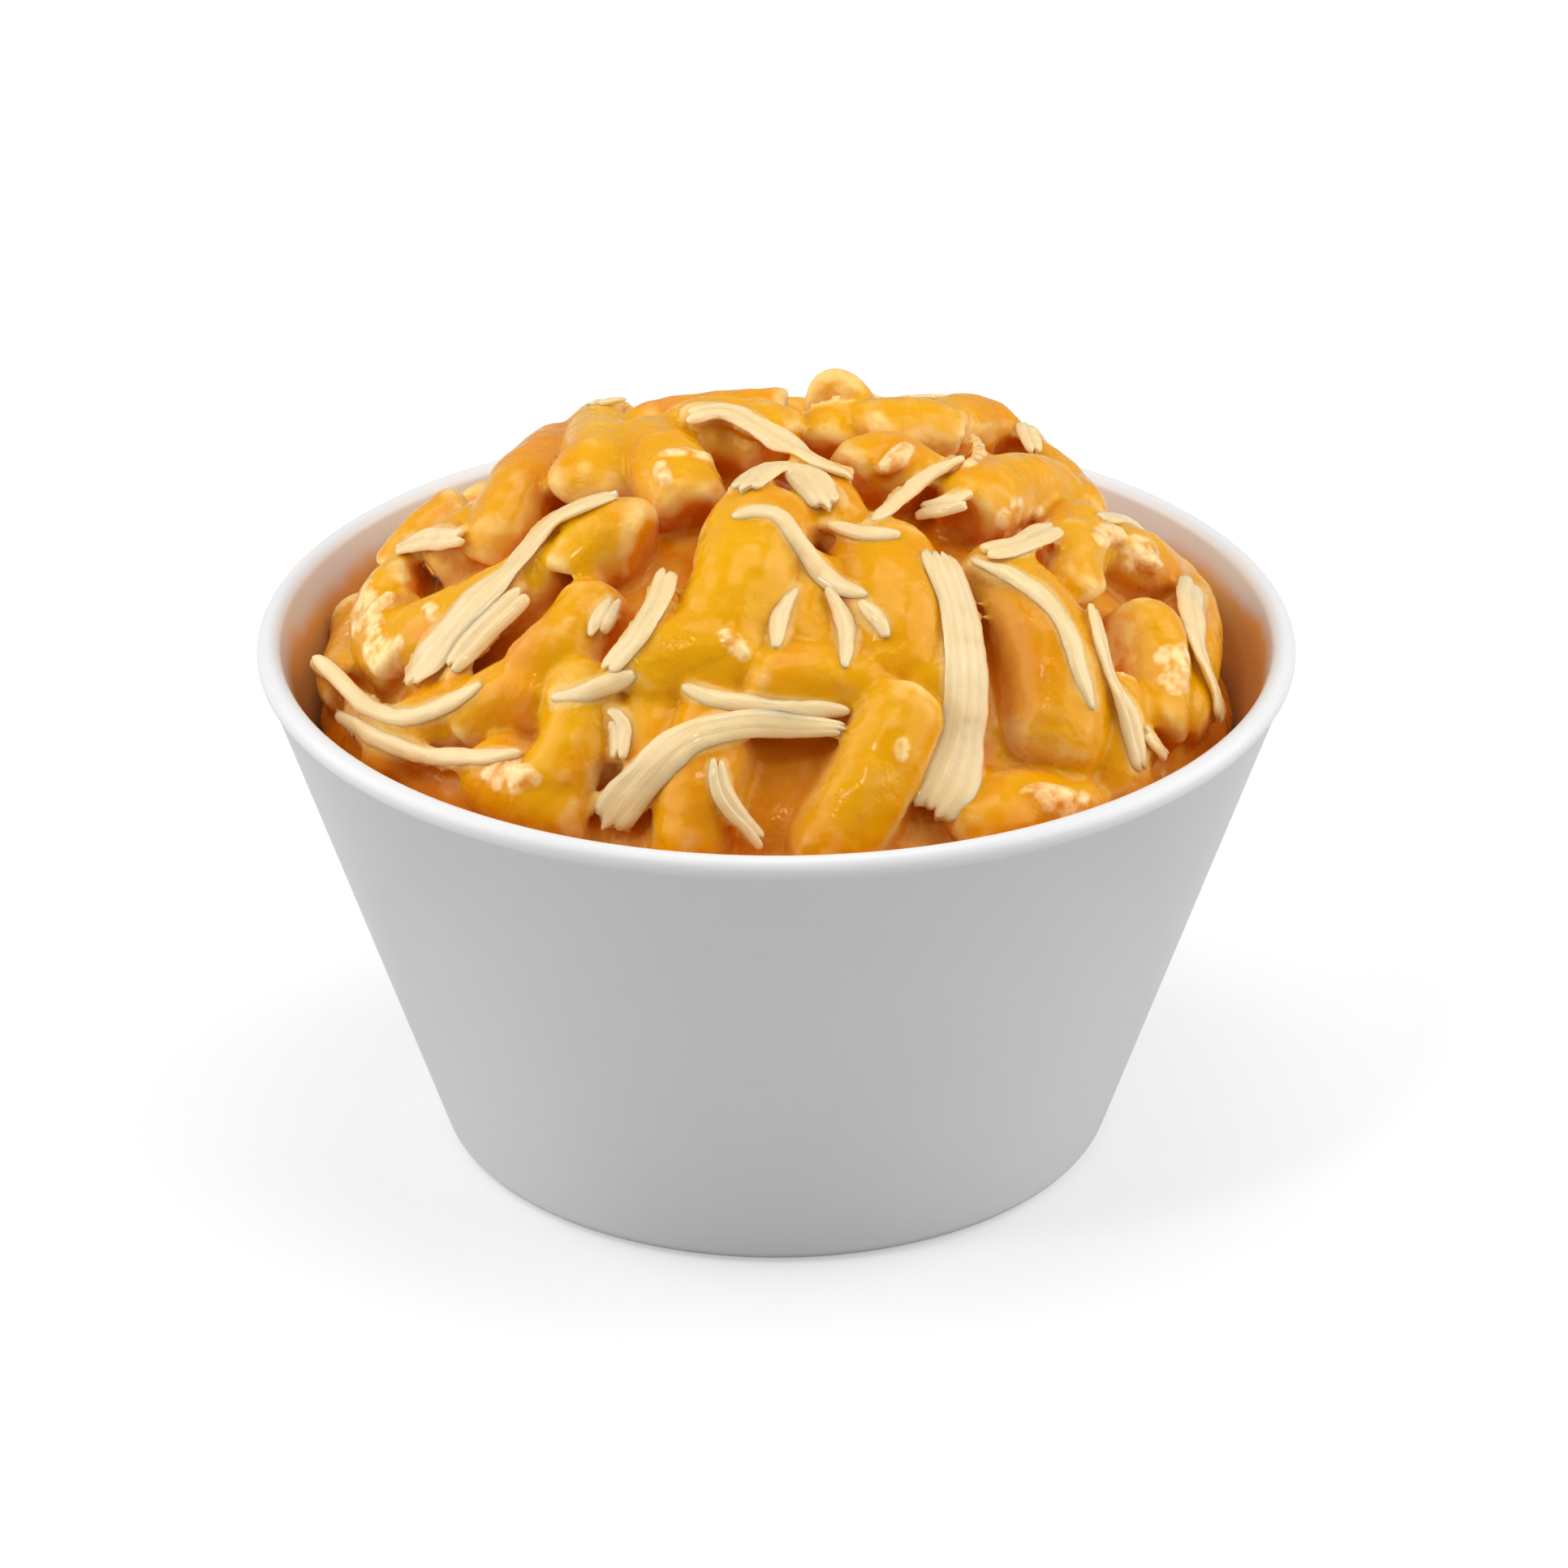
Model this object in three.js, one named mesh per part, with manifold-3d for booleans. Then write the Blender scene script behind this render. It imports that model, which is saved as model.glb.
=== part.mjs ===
// Macaroni and cheese in a plain white bowl. Millimetres, +Z up, origin at the centre of the foot.
// The food is one heap: a sauce-bound core with the elbows that show fused on. The grated cheese lies
// on it as separate strips.
import * as THREE from "three";
import { mergeVertices } from "three/addons/utils/BufferGeometryUtils.js";
import Module from "manifold-3d";

const wasm = await Module();
wasm.setup();

// Bowl
const RIM_RADIUS = 55;
const BOWL_HEIGHT = 57;
const FOOT_RADIUS = 35.6;
const WALL = 3;
const FLOOR = 3.4;
const LIP_ROUND = 1.3;
const LIP_PROUD = 0.35; // how far the rounded lip stands out over the wall below it
const HEEL_ROUND = 2.6;
const INNER_ROUND = 9;
const FOOT_RING = 3.2;
const FOOT_HOLLOW = 0.8;
const BOWL_SIDES = 54;

// Heap
const GAP = 0.3;
const HEAP_EDGE = 49.5; // height of the heap where it meets the wall
const HEAP_TOP = 77;
const HEAP_POWER = 3; // 2 is a plain dome, more is a flatter crown with steeper shoulders
const CORE_EDGE = 47.5;
const CORE_TOP = 70;
const CORE_SIDES = 36;
const CORE_RINGS = 6;
const ROOM_TOP = 100; // well above the food
const MERGE = 1e-3; // vertices closer than this are one

// Elbows
const TUBE_SIDES = 8;
const TUBE_STEPS = 5;
const BORE_SHARE = 0.56; // bore radius over outer radius
const BORE_DEPTH = 3.5;
const BORE_TAPER = 0.93; // bore radius at its inner end over that at its mouth

// Grated cheese
const SHRED_THICKNESS = 1.1;
const SHRED_STEP = 4.7;
const SHRED_TIP = 0.6; // width at a tip over the full width
const SHRED_DIVE = 0.5; // how steeply a strip may sink into a gap
const SHRED_LIFT = 0.45;
const SHRED_RAISE = 0.3; // a strip that touches what it lies on is raised by this much
const SHRED_RAISES = 3; // and at most so many times
const SHRED_TOUCH = 0.4; // cubic millimetres that may then be cut away

// Places are read on a drawing plane, as [across, up] in millimetres. It passes through the bowl's axis
// at AIM_HEIGHT and faces an eye that looks down on the bowl from the front. A place is carried along
// its line of sight until it meets the heap.
const EYE_DISTANCE = 800;
const EYE_ANGLE = THREE.MathUtils.degToRad(26.8);
const AIM_HEIGHT = 30;
const SIGHT_STEP = 0.25; // a line of sight is followed in steps of this length

// The elbows of the front and the crown: outer radius, which ends show as open (0 the first, 1 the last),
// and the axis as [across, up, lift]. Lift raises a tube from lying level with the heap's surface.
const PLACED_ELBOWS = [
  { radius: 4.6, open: [], axis: [[-31, 10, 0], [-25.5, 6, 0.5], [-19.5, 5, 0.5]] },
  { radius: 4.2, open: [], axis: [[-21, 19, 0.5], [-21.5, 13, 2], [-23.5, 7, 1.5]] },
  { radius: 4.6, open: [], axis: [[-6.5, 15, -0.5], [-8, 7, 1], [-10, -3, 0.5]] },
  { radius: 4.8, open: [], axis: [[14, 16.5, 2], [10, 8, 2.5], [4.5, -3, 1]] },
  { radius: 4.5, open: [], axis: [[19, 1, -0.5], [26, 4.5, 0.5], [34.5, 4, 0]] },
  { radius: 4.5, open: [0], axis: [[34.5, 18, 0], [35.5, 11, 0], [37, 5, 0]] },
  { radius: 4.3, open: [0], axis: [[41, 34, 0], [43.5, 24, 1], [42, 13, 0]] },
  { radius: 4.5, open: [], axis: [[38, 25.5, 1.5], [40, 19, 2], [39.5, 13, 1]] },
  { radius: 4.4, open: [1], axis: [[35, 32, 1], [38.5, 30.5, 1.5], [42, 32, 1.5]] },
  { radius: 4, open: [], axis: [[32.5, 35, 1], [31.5, 31, 1.5], [32, 27, 0.5]] },
  { radius: 5.6, open: [], axis: [[20.5, 30, 0.5], [28.5, 22, 2.5], [29, 9, 1]] },
  { radius: 5.6, open: [], axis: [[11, 32.5, 1.5], [12.5, 26, 2], [12.5, 18, 0]] },
  { radius: 4.2, open: [], axis: [[13.5, 18.5, -0.5], [17, 18, 0], [20, 16, -1]] },
  { radius: 5.8, open: [], axis: [[-1.5, 35.5, 3], [-3.5, 29, 3.5], [-7, 21.5, 1.5]] },
  { radius: 4.6, open: [], axis: [[-15, 17, 1.5], [-9.5, 21, 2.5], [-2.5, 19.5, 1.5]] },
  { radius: 4.4, open: [], axis: [[-3, 17.5, 0.5], [4, 18, 0.5], [10.5, 17, -0.5]] },
  { radius: 4.2, open: [], axis: [[-12.5, 18, -1], [-13, 13, -0.5], [-12, 8, -1]] },
  { radius: 4.4, open: [0], axis: [[-26, 18.5, 0], [-22, 22, 1], [-19, 27, -0.5]] },
  { radius: 4.3, open: [0], axis: [[-33, 14, 0], [-28.5, 17, 1], [-24, 17, 0]] },
  { radius: 4.4, open: [1], axis: [[-14, 33.5, 2], [-18.5, 33, 2], [-22, 29, 0.5]] },
  { radius: 4.8, open: [], axis: [[-38.5, 20, 0.5], [-41, 25, 2], [-37.5, 28.5, 1]] },
  { radius: 4.8, open: [], axis: [[-22.5, 43.5, 1], [-27, 38, 2], [-30.5, 31, 0]] },
  { radius: 4.3, open: [0], axis: [[-40, 34, 0.5], [-37, 37, 1], [-32.5, 38.5, 0.5]] },
  { radius: 4.4, open: [], axis: [[-36, 30.5, 0.5], [-31.5, 33.5, 0.5], [-27, 35, -0.5]] },
  { radius: 4.4, open: [], axis: [[-19, 45.5, 2], [-18.5, 42, 2.5], [-21.5, 37, 1]] },
  { radius: 4.5, open: [], axis: [[-14.5, 43.5, 1.5], [-11.5, 40.5, 2], [-9, 36, 0.5]] },
  { radius: 4.8, open: [], axis: [[-10, 43.5, 2.5], [-5, 45, 3], [1, 42.5, 1.5]] },
  { radius: 4, open: [], axis: [[6, 48.5, 4.5], [7, 47, 3], [6, 42.5, 0.5]] },
  { radius: 4.4, open: [1], axis: [[9, 43.5, 1.5], [13.5, 45, 2.5], [18, 43.5, 1.5]] },
  { radius: 4.2, open: [], axis: [[16.5, 44.5, 2], [21, 46.5, 3], [24.5, 44, 1.5]] },
  { radius: 4.3, open: [], axis: [[24.5, 43, 0.5], [29, 39.5, 1], [32, 35, 0]] },
  { radius: 4.4, open: [], axis: [[7.5, 40, 1.5], [12, 41, 2], [16, 38, 0.5]] },
  { radius: 4.3, open: [1], axis: [[20, 36, 1.5], [25, 39, 2], [29.5, 37.5, 0.5]] },
  { radius: 4.2, open: [], axis: [[0, 38.5, 2], [4, 37, 2], [7, 33, 0.5]] },
  { radius: 4.2, open: [], axis: [[5, 30, 0], [3, 25, 0], [4.5, 20, -1]] },
  { radius: 4.3, open: [], axis: [[-44.5, 28.5, 1.5], [-47, 23, 2.5], [-45.5, 17.5, 1.5]] },
];

// The elbows of the back and the sides are spread by a rule.
const FILL_TRIES = 160;
const FILL_SPACING = 8;
const FILL_LENGTH = [15, 20];
const FILL_BOW = [2, 5];
const FILL_RADIUS = [4.1, 4.8];
const FILL_LIFT = [-1.5, 0.8];
const FILL_SEED = 7;
const DRAW_FACTOR = 16807; // each number drawn is the last one times this, within the range
const DRAW_RANGE = 2147483647;

// The strips of grated cheese of the front and the crown: the widths of the two ends, and the middle line
// as [across, up], with a lift where a strip stands higher over the heap, as where its tip leans on the
// bowl's wall.
const SHREDS = [
  { widths: [3.6, 4.6], line: [[-17, 39], [-23.5, 36.5], [-28.5, 31], [-34.5, 25], [-40, 18]] },
  { widths: [3.2, 3], line: [[-26.5, 29], [-31, 24.5], [-36, 19]] },
  { widths: [1.8, 2.2], line: [[-50, 21.5, 3.5], [-47, 18.9, 1], [-43.5, 15.7], [-38, 15.2], [-31.5, 18.5]] },
  { widths: [2.2, 1.8], line: [[-48, 15.5], [-42.5, 12.5], [-36.5, 10.5], [-27, 11]] },
  { widths: [4.6, 6], line: [[17, 33.3], [19.3, 28], [20.3, 22.5], [20.4, 16], [19.2, 10], [16.6, 4]] },
  { widths: [2.4, 2.4], line: [[-5, 36.5], [-0.5, 37], [2.5, 33.5], [5.5, 29.5], [10, 28]] },
  { widths: [1.8, 1.8], line: [[5, 29.5], [7.5, 25], [7.5, 19.5]] },
  { widths: [1.8, 1.8], line: [[2.5, 29.5], [0.5, 26], [0, 21.5]] },
  { widths: [2, 2], line: [[8, 28.5], [11, 25.5], [12, 22.5]] },
  { widths: [2, 2], line: [[-10.5, 18.5], [-5, 16.5], [2, 15.5], [8, 15.5]] },
  { widths: [1.8, 5.2], line: [[8, 13.5], [-0.5, 14], [-8.5, 13], [-13.5, 9], [-19, 2.5]] },
  { widths: [2, 2.6], line: [[-6.5, 11.5], [-5.5, 6.5], [-3, 3], [-1, 0.5]] },
  { widths: [2.6, 2.6], line: [[34, 27], [35.5, 20.5], [38, 14.5], [39.5, 8]] },
  { widths: [2.4, 2.4], line: [[20.5, 32], [26.5, 29.5], [31, 25], [34, 15.5]] },
  { widths: [4.4, 4.4], line: [[-4, 39], [-0.5, 42], [3, 41], [6, 37]] },
  { widths: [3, 3], line: [[-10.5, 47], [-6, 48], [-1.5, 46], [4, 42.5], [9, 40.5]] },
  { widths: [3.4, 3.4], line: [[15, 37], [21.5, 38.5]] },
  { widths: [3.4, 3.4], line: [[22, 32.5], [26.5, 33.5], [30.5, 35.5]] },
  { widths: [3.4, 3.4], line: [[-11.5, 31], [-13.5, 26], [-18.5, 19.5]] },
  { widths: [2.6, 2.6], line: [[-17, 28], [-19.5, 23]] },
  { widths: [3.4, 3.4], line: [[46, 32.5], [44.5, 27.5], [45.5, 22], [47.5, 17], [47.5, 14]] },
  { widths: [3, 3], line: [[39.5, 13.5], [42, 10.5]] },
  { widths: [2.2, 2.2], line: [[-25, 17], [-20.5, 17.5], [-14.5, 20]] },
  { widths: [3, 3], line: [[-19, 15], [-17, 14.5], [-17, 9.5]] },
  { widths: [1.8, 1.8], line: [[10, 35.5], [15, 40], [20.5, 43]] },
  { widths: [2.6, 2.6], line: [[-41.5, 32.5], [-38, 34], [-33, 34.5]] },
  { widths: [2, 2], line: [[34.5, 36.5], [41, 36]] },
  { widths: [2, 2], line: [[4.5, 36], [9, 34.5], [13.5, 34.5]] },
];

// The strips of the back, which the front's lines of sight don't reach: the middle line as [x, y].
const BACK_SHREDS = [
  { widths: [3, 3.6], line: [[-36, 8], [-31, 14.5], [-28.5, 22]] },
  { widths: [4, 4.6], line: [[-20.5, 17.5], [-18, 23.5], [-20.5, 30]] },
  { widths: [2.4, 2], line: [[-12, 27], [-8.5, 33.5], [-1, 38.5], [6, 40]] },
  { widths: [2.2, 2.2], line: [[3, 36], [9, 31.5], [16, 31]] },
  { widths: [3.6, 3], line: [[5, 20.5], [11, 23.5], [18, 21]] },
  { widths: [2.4, 2.8], line: [[13, 37.5], [20, 34], [26, 34]] },
  { widths: [2.6, 2.2], line: [[31, 28], [27, 21.5], [28, 14.5]] },
];

const pasta = new THREE.MeshStandardMaterial({ color: 0xe9a526, roughness: 0.35, metalness: 0 });
const cheese = new THREE.MeshStandardMaterial({ color: 0xf2cfa0, roughness: 0.5, metalness: 0 });
const glaze = new THREE.MeshStandardMaterial({ color: 0xe8e6e4, roughness: 0.4, metalness: 0 });

const wallRun = RIM_RADIUS - LIP_PROUD - FOOT_RADIUS;
const wallRise = BOWL_HEIGHT - 2 * LIP_ROUND;
const WALL_ANGLE = Math.atan2(wallRun, wallRise); // from upright
const WALL_ACROSS = WALL / Math.cos(WALL_ANGLE);

// Radius of the bowl's inner face at a height.
function innerRadius(height) {
  return FOOT_RADIUS + height * Math.tan(WALL_ANGLE) - WALL_ACROSS;
}

// Points of an arc in a lathe profile, angles in degrees from the outward direction.
function arc(radius, height, round, from, to, steps) {
  return Array.from({ length: steps + 1 }, (_, i) => {
    const angle = THREE.MathUtils.degToRad(from + ((to - from) * i) / steps);
    return new THREE.Vector2(radius + round * Math.cos(angle), height + round * Math.sin(angle));
  });
}

// A closed solid turned about the Z axis.
function turned(profile, sides) {
  return new THREE.LatheGeometry(profile, sides).rotateX(Math.PI / 2);
}

// Radius at which a rounded corner between the sloping wall and a level floor is centred.
function cornerCentre(round, floorRadius) {
  return floorRadius - round * Math.tan(Math.PI / 4 - WALL_ANGLE / 2);
}

function makeBowl() {
  const slope = THREE.MathUtils.radToDeg(WALL_ANGLE);
  const lipRadius = RIM_RADIUS - LIP_ROUND;
  const lipHeight = BOWL_HEIGHT - LIP_ROUND;
  const ringInside = FOOT_RADIUS - HEEL_ROUND - FOOT_RING;
  const floorEdge = innerRadius(FLOOR);
  return turned(
    [
      new THREE.Vector2(0, FOOT_HOLLOW),
      new THREE.Vector2(ringInside - FOOT_HOLLOW, FOOT_HOLLOW),
      new THREE.Vector2(ringInside, 0),
      ...arc(cornerCentre(HEEL_ROUND, FOOT_RADIUS), HEEL_ROUND, HEEL_ROUND, -90, -slope, 2),
      ...arc(lipRadius, lipHeight, LIP_ROUND, -50, 180, 5),
      ...arc(cornerCentre(INNER_ROUND, floorEdge), FLOOR + INNER_ROUND, INNER_ROUND, -slope, -90, 3),
      new THREE.Vector2(0, FLOOR),
    ],
    BOWL_SIDES,
  );
}

// Height of a dome at a distance from the axis.
function domeHeight(radius, edge, top) {
  const share = Math.min(radius / innerRadius(edge), 1);
  return edge + (top - edge) * (1 - share ** HEAP_POWER);
}

// Height of the heap's surface, level with the tops of its elbows.
function heapHeight(x, y) {
  return domeHeight(Math.hypot(x, y), HEAP_EDGE, HEAP_TOP);
}

// Direction that faces out of the heap's surface.
function heapNormal({ x, y }) {
  const radius = Math.hypot(x, y);
  const share = Math.min(radius / innerRadius(HEAP_EDGE), 1);
  const fall = (HEAP_POWER * (HEAP_TOP - HEAP_EDGE) * share ** (HEAP_POWER - 1)) / innerRadius(HEAP_EDGE);
  return new THREE.Vector3((fall * x) / (radius || 1), (fall * y) / (radius || 1), 1).normalize();
}

// The core fills the bowl inside its wall and rises as a dome below the elbows. A margin raises the dome.
function makeCore(margin) {
  const slope = THREE.MathUtils.radToDeg(WALL_ANGLE);
  const across = GAP / Math.cos(WALL_ANGLE);
  const edge = innerRadius(CORE_EDGE) - across;
  const floorHeight = FLOOR + GAP;
  const floorEdge = innerRadius(floorHeight) - across;
  const dome = Array.from({ length: CORE_RINGS }, (_, i) => {
    const radius = edge * (1 - i / CORE_RINGS);
    return new THREE.Vector2(radius, domeHeight(radius, CORE_EDGE, CORE_TOP) + margin);
  });
  return turned(
    [
      new THREE.Vector2(0, floorHeight),
      ...arc(cornerCentre(INNER_ROUND, floorEdge), floorHeight + INNER_ROUND, INNER_ROUND, -90, -slope, 2),
      ...dome,
      new THREE.Vector2(0, CORE_TOP + margin),
    ],
    CORE_SIDES,
  );
}

// The space that the food may fill: clear of the bowl's wall and floor, and open upwards.
function makeRoom() {
  const across = GAP / Math.cos(WALL_ANGLE);
  return turned(
    [
      new THREE.Vector2(0, FLOOR + GAP),
      new THREE.Vector2(innerRadius(FLOOR + GAP) - across, FLOOR + GAP),
      new THREE.Vector2(innerRadius(ROOM_TOP) - across, ROOM_TOP),
      new THREE.Vector2(0, ROOM_TOP),
    ],
    BOWL_SIDES,
  );
}

// Numbers from 0 to 1 that come out the same every time.
function makeDraw(seed) {
  let state = seed;
  return ([from, to]) => {
    state = (state * DRAW_FACTOR) % DRAW_RANGE;
    return from + ((to - from) * state) / DRAW_RANGE;
  };
}

const eye = new THREE.Vector3(
  0,
  -EYE_DISTANCE * Math.cos(EYE_ANGLE),
  AIM_HEIGHT + EYE_DISTANCE * Math.sin(EYE_ANGLE),
);

// The line of sight through a place on the drawing plane.
function sight(across, up) {
  const place = new THREE.Vector3(
    across,
    up * Math.sin(EYE_ANGLE),
    AIM_HEIGHT + up * Math.cos(EYE_ANGLE),
  );
  return new THREE.Ray(eye, place.sub(eye).normalize());
}

// Where a line of sight comes within a height of the heap's surface. One that passes over the heap's
// crown is brought down to it where it passes nearest.
function ontoHeap(across, up, lift) {
  const ray = sight(across, up);
  const point = new THREE.Vector3();
  const nearest = new THREE.Vector3();
  let least = Infinity;
  for (let along = -RIM_RADIUS; along < RIM_RADIUS; along += SIGHT_STEP) {
    ray.at(EYE_DISTANCE + along, point);
    if (Math.hypot(point.x, point.y) > innerRadius(point.z)) continue;
    const above = point.z - heapHeight(point.x, point.y) - lift;
    if (above >= least) continue;
    least = above;
    nearest.copy(point).setZ(point.z - Math.max(above, 0));
    if (above <= 0) break;
  }
  return nearest;
}

// Moves a point towards the axis until a ball of that radius is clear of the bowl's wall.
function keepInside(point, radius) {
  const most = innerRadius(point.z) - (radius + GAP) / Math.cos(WALL_ANGLE);
  const now = Math.hypot(point.x, point.y);
  if (now > most) {
    point.x *= most / now;
    point.y *= most / now;
  }
  return point;
}

// How a strip's places are carried onto the heap: along the front's lines of sight, or straight down.
const FROM_FRONT = { sight, onto: ontoHeap };
const FROM_ABOVE = {
  sight: (x, y) => new THREE.Ray(new THREE.Vector3(x, y, ROOM_TOP), new THREE.Vector3(0, 0, -1)),
  onto: (x, y, lift) => new THREE.Vector3(x, y, heapHeight(x, y) + lift),
};

function placedElbow({ radius, open, axis }) {
  const points = axis.map(([across, up, lift]) =>
    keepInside(ontoHeap(across, up, lift - radius), radius),
  );
  return { radius, open, points };
}

function fillElbows(elbows) {
  const draw = makeDraw(FILL_SEED);
  const golden = Math.PI * (3 - Math.sqrt(5));
  const spread = innerRadius(HEAP_EDGE) - FILL_RADIUS[0];
  for (let i = 0; i < FILL_TRIES; i++) {
    const radius = draw(FILL_RADIUS);
    const half = draw(FILL_LENGTH) / 2;
    const bow = draw(FILL_BOW);
    const heading = draw([0, Math.PI]);
    const lift = draw(FILL_LIFT);
    const out = spread * Math.sqrt((i + 0.5) / FILL_TRIES);
    const x = out * Math.cos(i * golden);
    const y = out * Math.sin(i * golden);
    const along = [Math.cos(heading), Math.sin(heading)];
    const points = [-1, 0, 1].map((end) => {
      const side = end === 0 ? bow / 2 : -bow / 2;
      const px = x + along[0] * half * end - along[1] * side;
      const py = y + along[1] * half * end + along[0] * side;
      const z = heapHeight(px, py) - radius + lift;
      return keepInside(new THREE.Vector3(px, py, z), radius);
    });
    const free = elbows.every((other) =>
      other.points.every((point) => point.distanceTo(points[1]) > FILL_SPACING),
    );
    if (free) elbows.push({ radius, open: i % 3 === 0 ? [1] : [], points });
  }
}

// A manifold solid from a closed geometry, turned right side out.
function solidOf(geometry) {
  const bare = geometry.clone();
  bare.deleteAttribute("normal");
  bare.deleteAttribute("uv");
  const merged = mergeVertices(bare, MERGE);
  const vertProperties = new Float32Array(merged.attributes.position.array);
  const triVerts = new Uint32Array(merged.index.array);
  const solid = new wasm.Manifold(new wasm.Mesh({ numProp: 3, vertProperties, triVerts }));
  if (solid.volume() > 0) return solid;
  return new wasm.Manifold(
    new wasm.Mesh({ numProp: 3, vertProperties, triVerts: triVerts.reverse() }),
  );
}

function geometryOf(solid) {
  const { numProp, vertProperties, triVerts } = solid.getMesh();
  const positions = new Float32Array((vertProperties.length / numProp) * 3);
  for (let i = 0; i * numProp < vertProperties.length; i++) {
    positions.set(vertProperties.subarray(i * numProp, i * numProp + 3), i * 3);
  }
  const geometry = new THREE.BufferGeometry();
  geometry.setAttribute("position", new THREE.BufferAttribute(positions, 3));
  geometry.setIndex(new THREE.BufferAttribute(triVerts, 1));
  geometry.computeVertexNormals();
  return geometry;
}

// The largest body of a solid: sealed hollows are filled and loose scraps dropped.
function largestBody(solid) {
  return solid.decompose().reduce((best, body) => (body.volume() > best.volume() ? body : best));
}

// One whole body, also once vertices that all but touch are merged.
function oneBody(solid) {
  return largestBody(solidOf(geometryOf(largestBody(solid))));
}

// The curve through the two ends and the middle of an elbow.
function elbowCurve([start, middle, end]) {
  const control = middle.clone().multiplyScalar(2).addScaledVector(start, -0.5);
  return new THREE.QuadraticBezierCurve3(start, control.addScaledVector(end, -0.5), end);
}

function makeElbow({ radius, open, points }, margin) {
  const curve = elbowCurve(points);
  const section = new THREE.Shape();
  for (let i = 0; i < TUBE_SIDES; i++) {
    const angle = (i * 2 * Math.PI) / TUBE_SIDES;
    const x = (radius + margin) * Math.cos(angle);
    const y = (radius + margin) * Math.sin(angle);
    if (i === 0) section.moveTo(x, y);
    else section.lineTo(x, y);
  }
  const tube = solidOf(
    new THREE.ExtrudeGeometry(section, { steps: TUBE_STEPS, extrudePath: curve, bevelEnabled: false }),
  );
  if (margin > 0) return tube;
  return open.reduce((drilled, end) => {
    const inwards = curve.getTangentAt(end).multiplyScalar(end === 0 ? 1 : -1);
    const bore = new THREE.CylinderGeometry(
      radius * BORE_SHARE,
      radius * BORE_SHARE * BORE_TAPER,
      BORE_DEPTH * 2,
      TUBE_SIDES - 2,
    );
    bore.applyQuaternion(
      new THREE.Quaternion().setFromUnitVectors(new THREE.Vector3(0, -1, 0), inwards),
    );
    bore.translate(...curve.getPointAt(end).toArray());
    return drilled.subtract(solidOf(bore));
  }, tube);
}

function makeHeap(elbows, margin) {
  const pieces = elbows.map((elbow) => makeElbow(elbow, margin));
  const fused = pieces.reduce((all, piece) => all.add(piece), solidOf(makeCore(margin)));
  return oneBody(fused.intersect(solidOf(makeRoom())));
}

// The middle line of a strip, laid over the heap: it rests on what stands up and sags a little between.
function drapedLine(places, from, raise, heapMesh) {
  const flat = new THREE.CatmullRomCurve3(
    places.map(([one, other, lift = 0]) => new THREE.Vector3(one, other, lift)),
  );
  const steps = Math.max(3, Math.ceil(flat.getLength() / SHRED_STEP));
  const sag = (SHRED_DIVE * flat.getLength()) / steps;
  const spots = flat.getSpacedPoints(steps);
  const caster = new THREE.Raycaster();
  const met = spots.map(({ x, y }) => {
    caster.ray.copy(from.sight(x, y));
    const [hit] = caster.intersectObject(heapMesh);
    return hit ? hit.point.z - heapHeight(hit.point.x, hit.point.y) : 0;
  });
  const held = met.map((_, i) => Math.max(...met.map((over, j) => over - sag * Math.abs(i - j))));
  return spots.map(({ x, y, z }, i) => {
    const around = (held[Math.max(i - 1, 0)] + held[i] + held[Math.min(i + 1, steps)]) / 3;
    const lift = Math.max(held[i], around) + SHRED_THICKNESS / 2 + SHRED_LIFT + raise + z;
    return keepInside(from.onto(x, y, lift), SHRED_THICKNESS);
  });
}

// A flat strip along a line, with its faces along the heap's surface and its tips narrowed.
function makeStrip(line, [from, to], thickness) {
  const curve = new THREE.CatmullRomCurve3(line);
  const count = line.length;
  const positions = [];
  line.forEach((point, i) => {
    const tangent = curve.getTangent(i / (count - 1));
    const side = new THREE.Vector3().crossVectors(tangent, heapNormal(point)).normalize();
    const normal = new THREE.Vector3().crossVectors(side, tangent).normalize();
    const taper = i === 0 || i === count - 1 ? SHRED_TIP : 1;
    const width = taper * (from + ((to - from) * i) / (count - 1));
    const corners = [[-1, -1], [1, -1], [1, 1], [-1, 1]];
    corners.forEach(([across, through]) => {
      const corner = point
        .clone()
        .addScaledVector(side, (across * width) / 2)
        .addScaledVector(normal, (through * thickness) / 2);
      positions.push(corner.x, corner.y, corner.z);
    });
  });
  const faces = [0, 1, 2, 0, 2, 3];
  const last = (count - 1) * 4;
  faces.push(last, last + 2, last + 1, last, last + 3, last + 2);
  for (let ring = 0; ring < count - 1; ring++) {
    for (let i = 0; i < 4; i++) {
      const a = ring * 4 + i;
      const b = ring * 4 + ((i + 1) % 4);
      faces.push(a, b + 4, b, a, a + 4, b + 4);
    }
  }
  const geometry = new THREE.BufferGeometry();
  geometry.setAttribute("position", new THREE.Float32BufferAttribute(positions, 3));
  geometry.setIndex(faces);
  return geometry;
}

function named(name, geometry, material) {
  const mesh = new THREE.Mesh(geometry, material);
  mesh.name = name;
  return mesh;
}

const part = new THREE.Group();
part.add(named("bowl", makeBowl(), glaze));

const elbows = PLACED_ELBOWS.map(placedElbow);
fillElbows(elbows);
const heapMesh = named("macaroni", geometryOf(makeHeap(elbows, 0)), pasta);
part.add(heapMesh);

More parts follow.
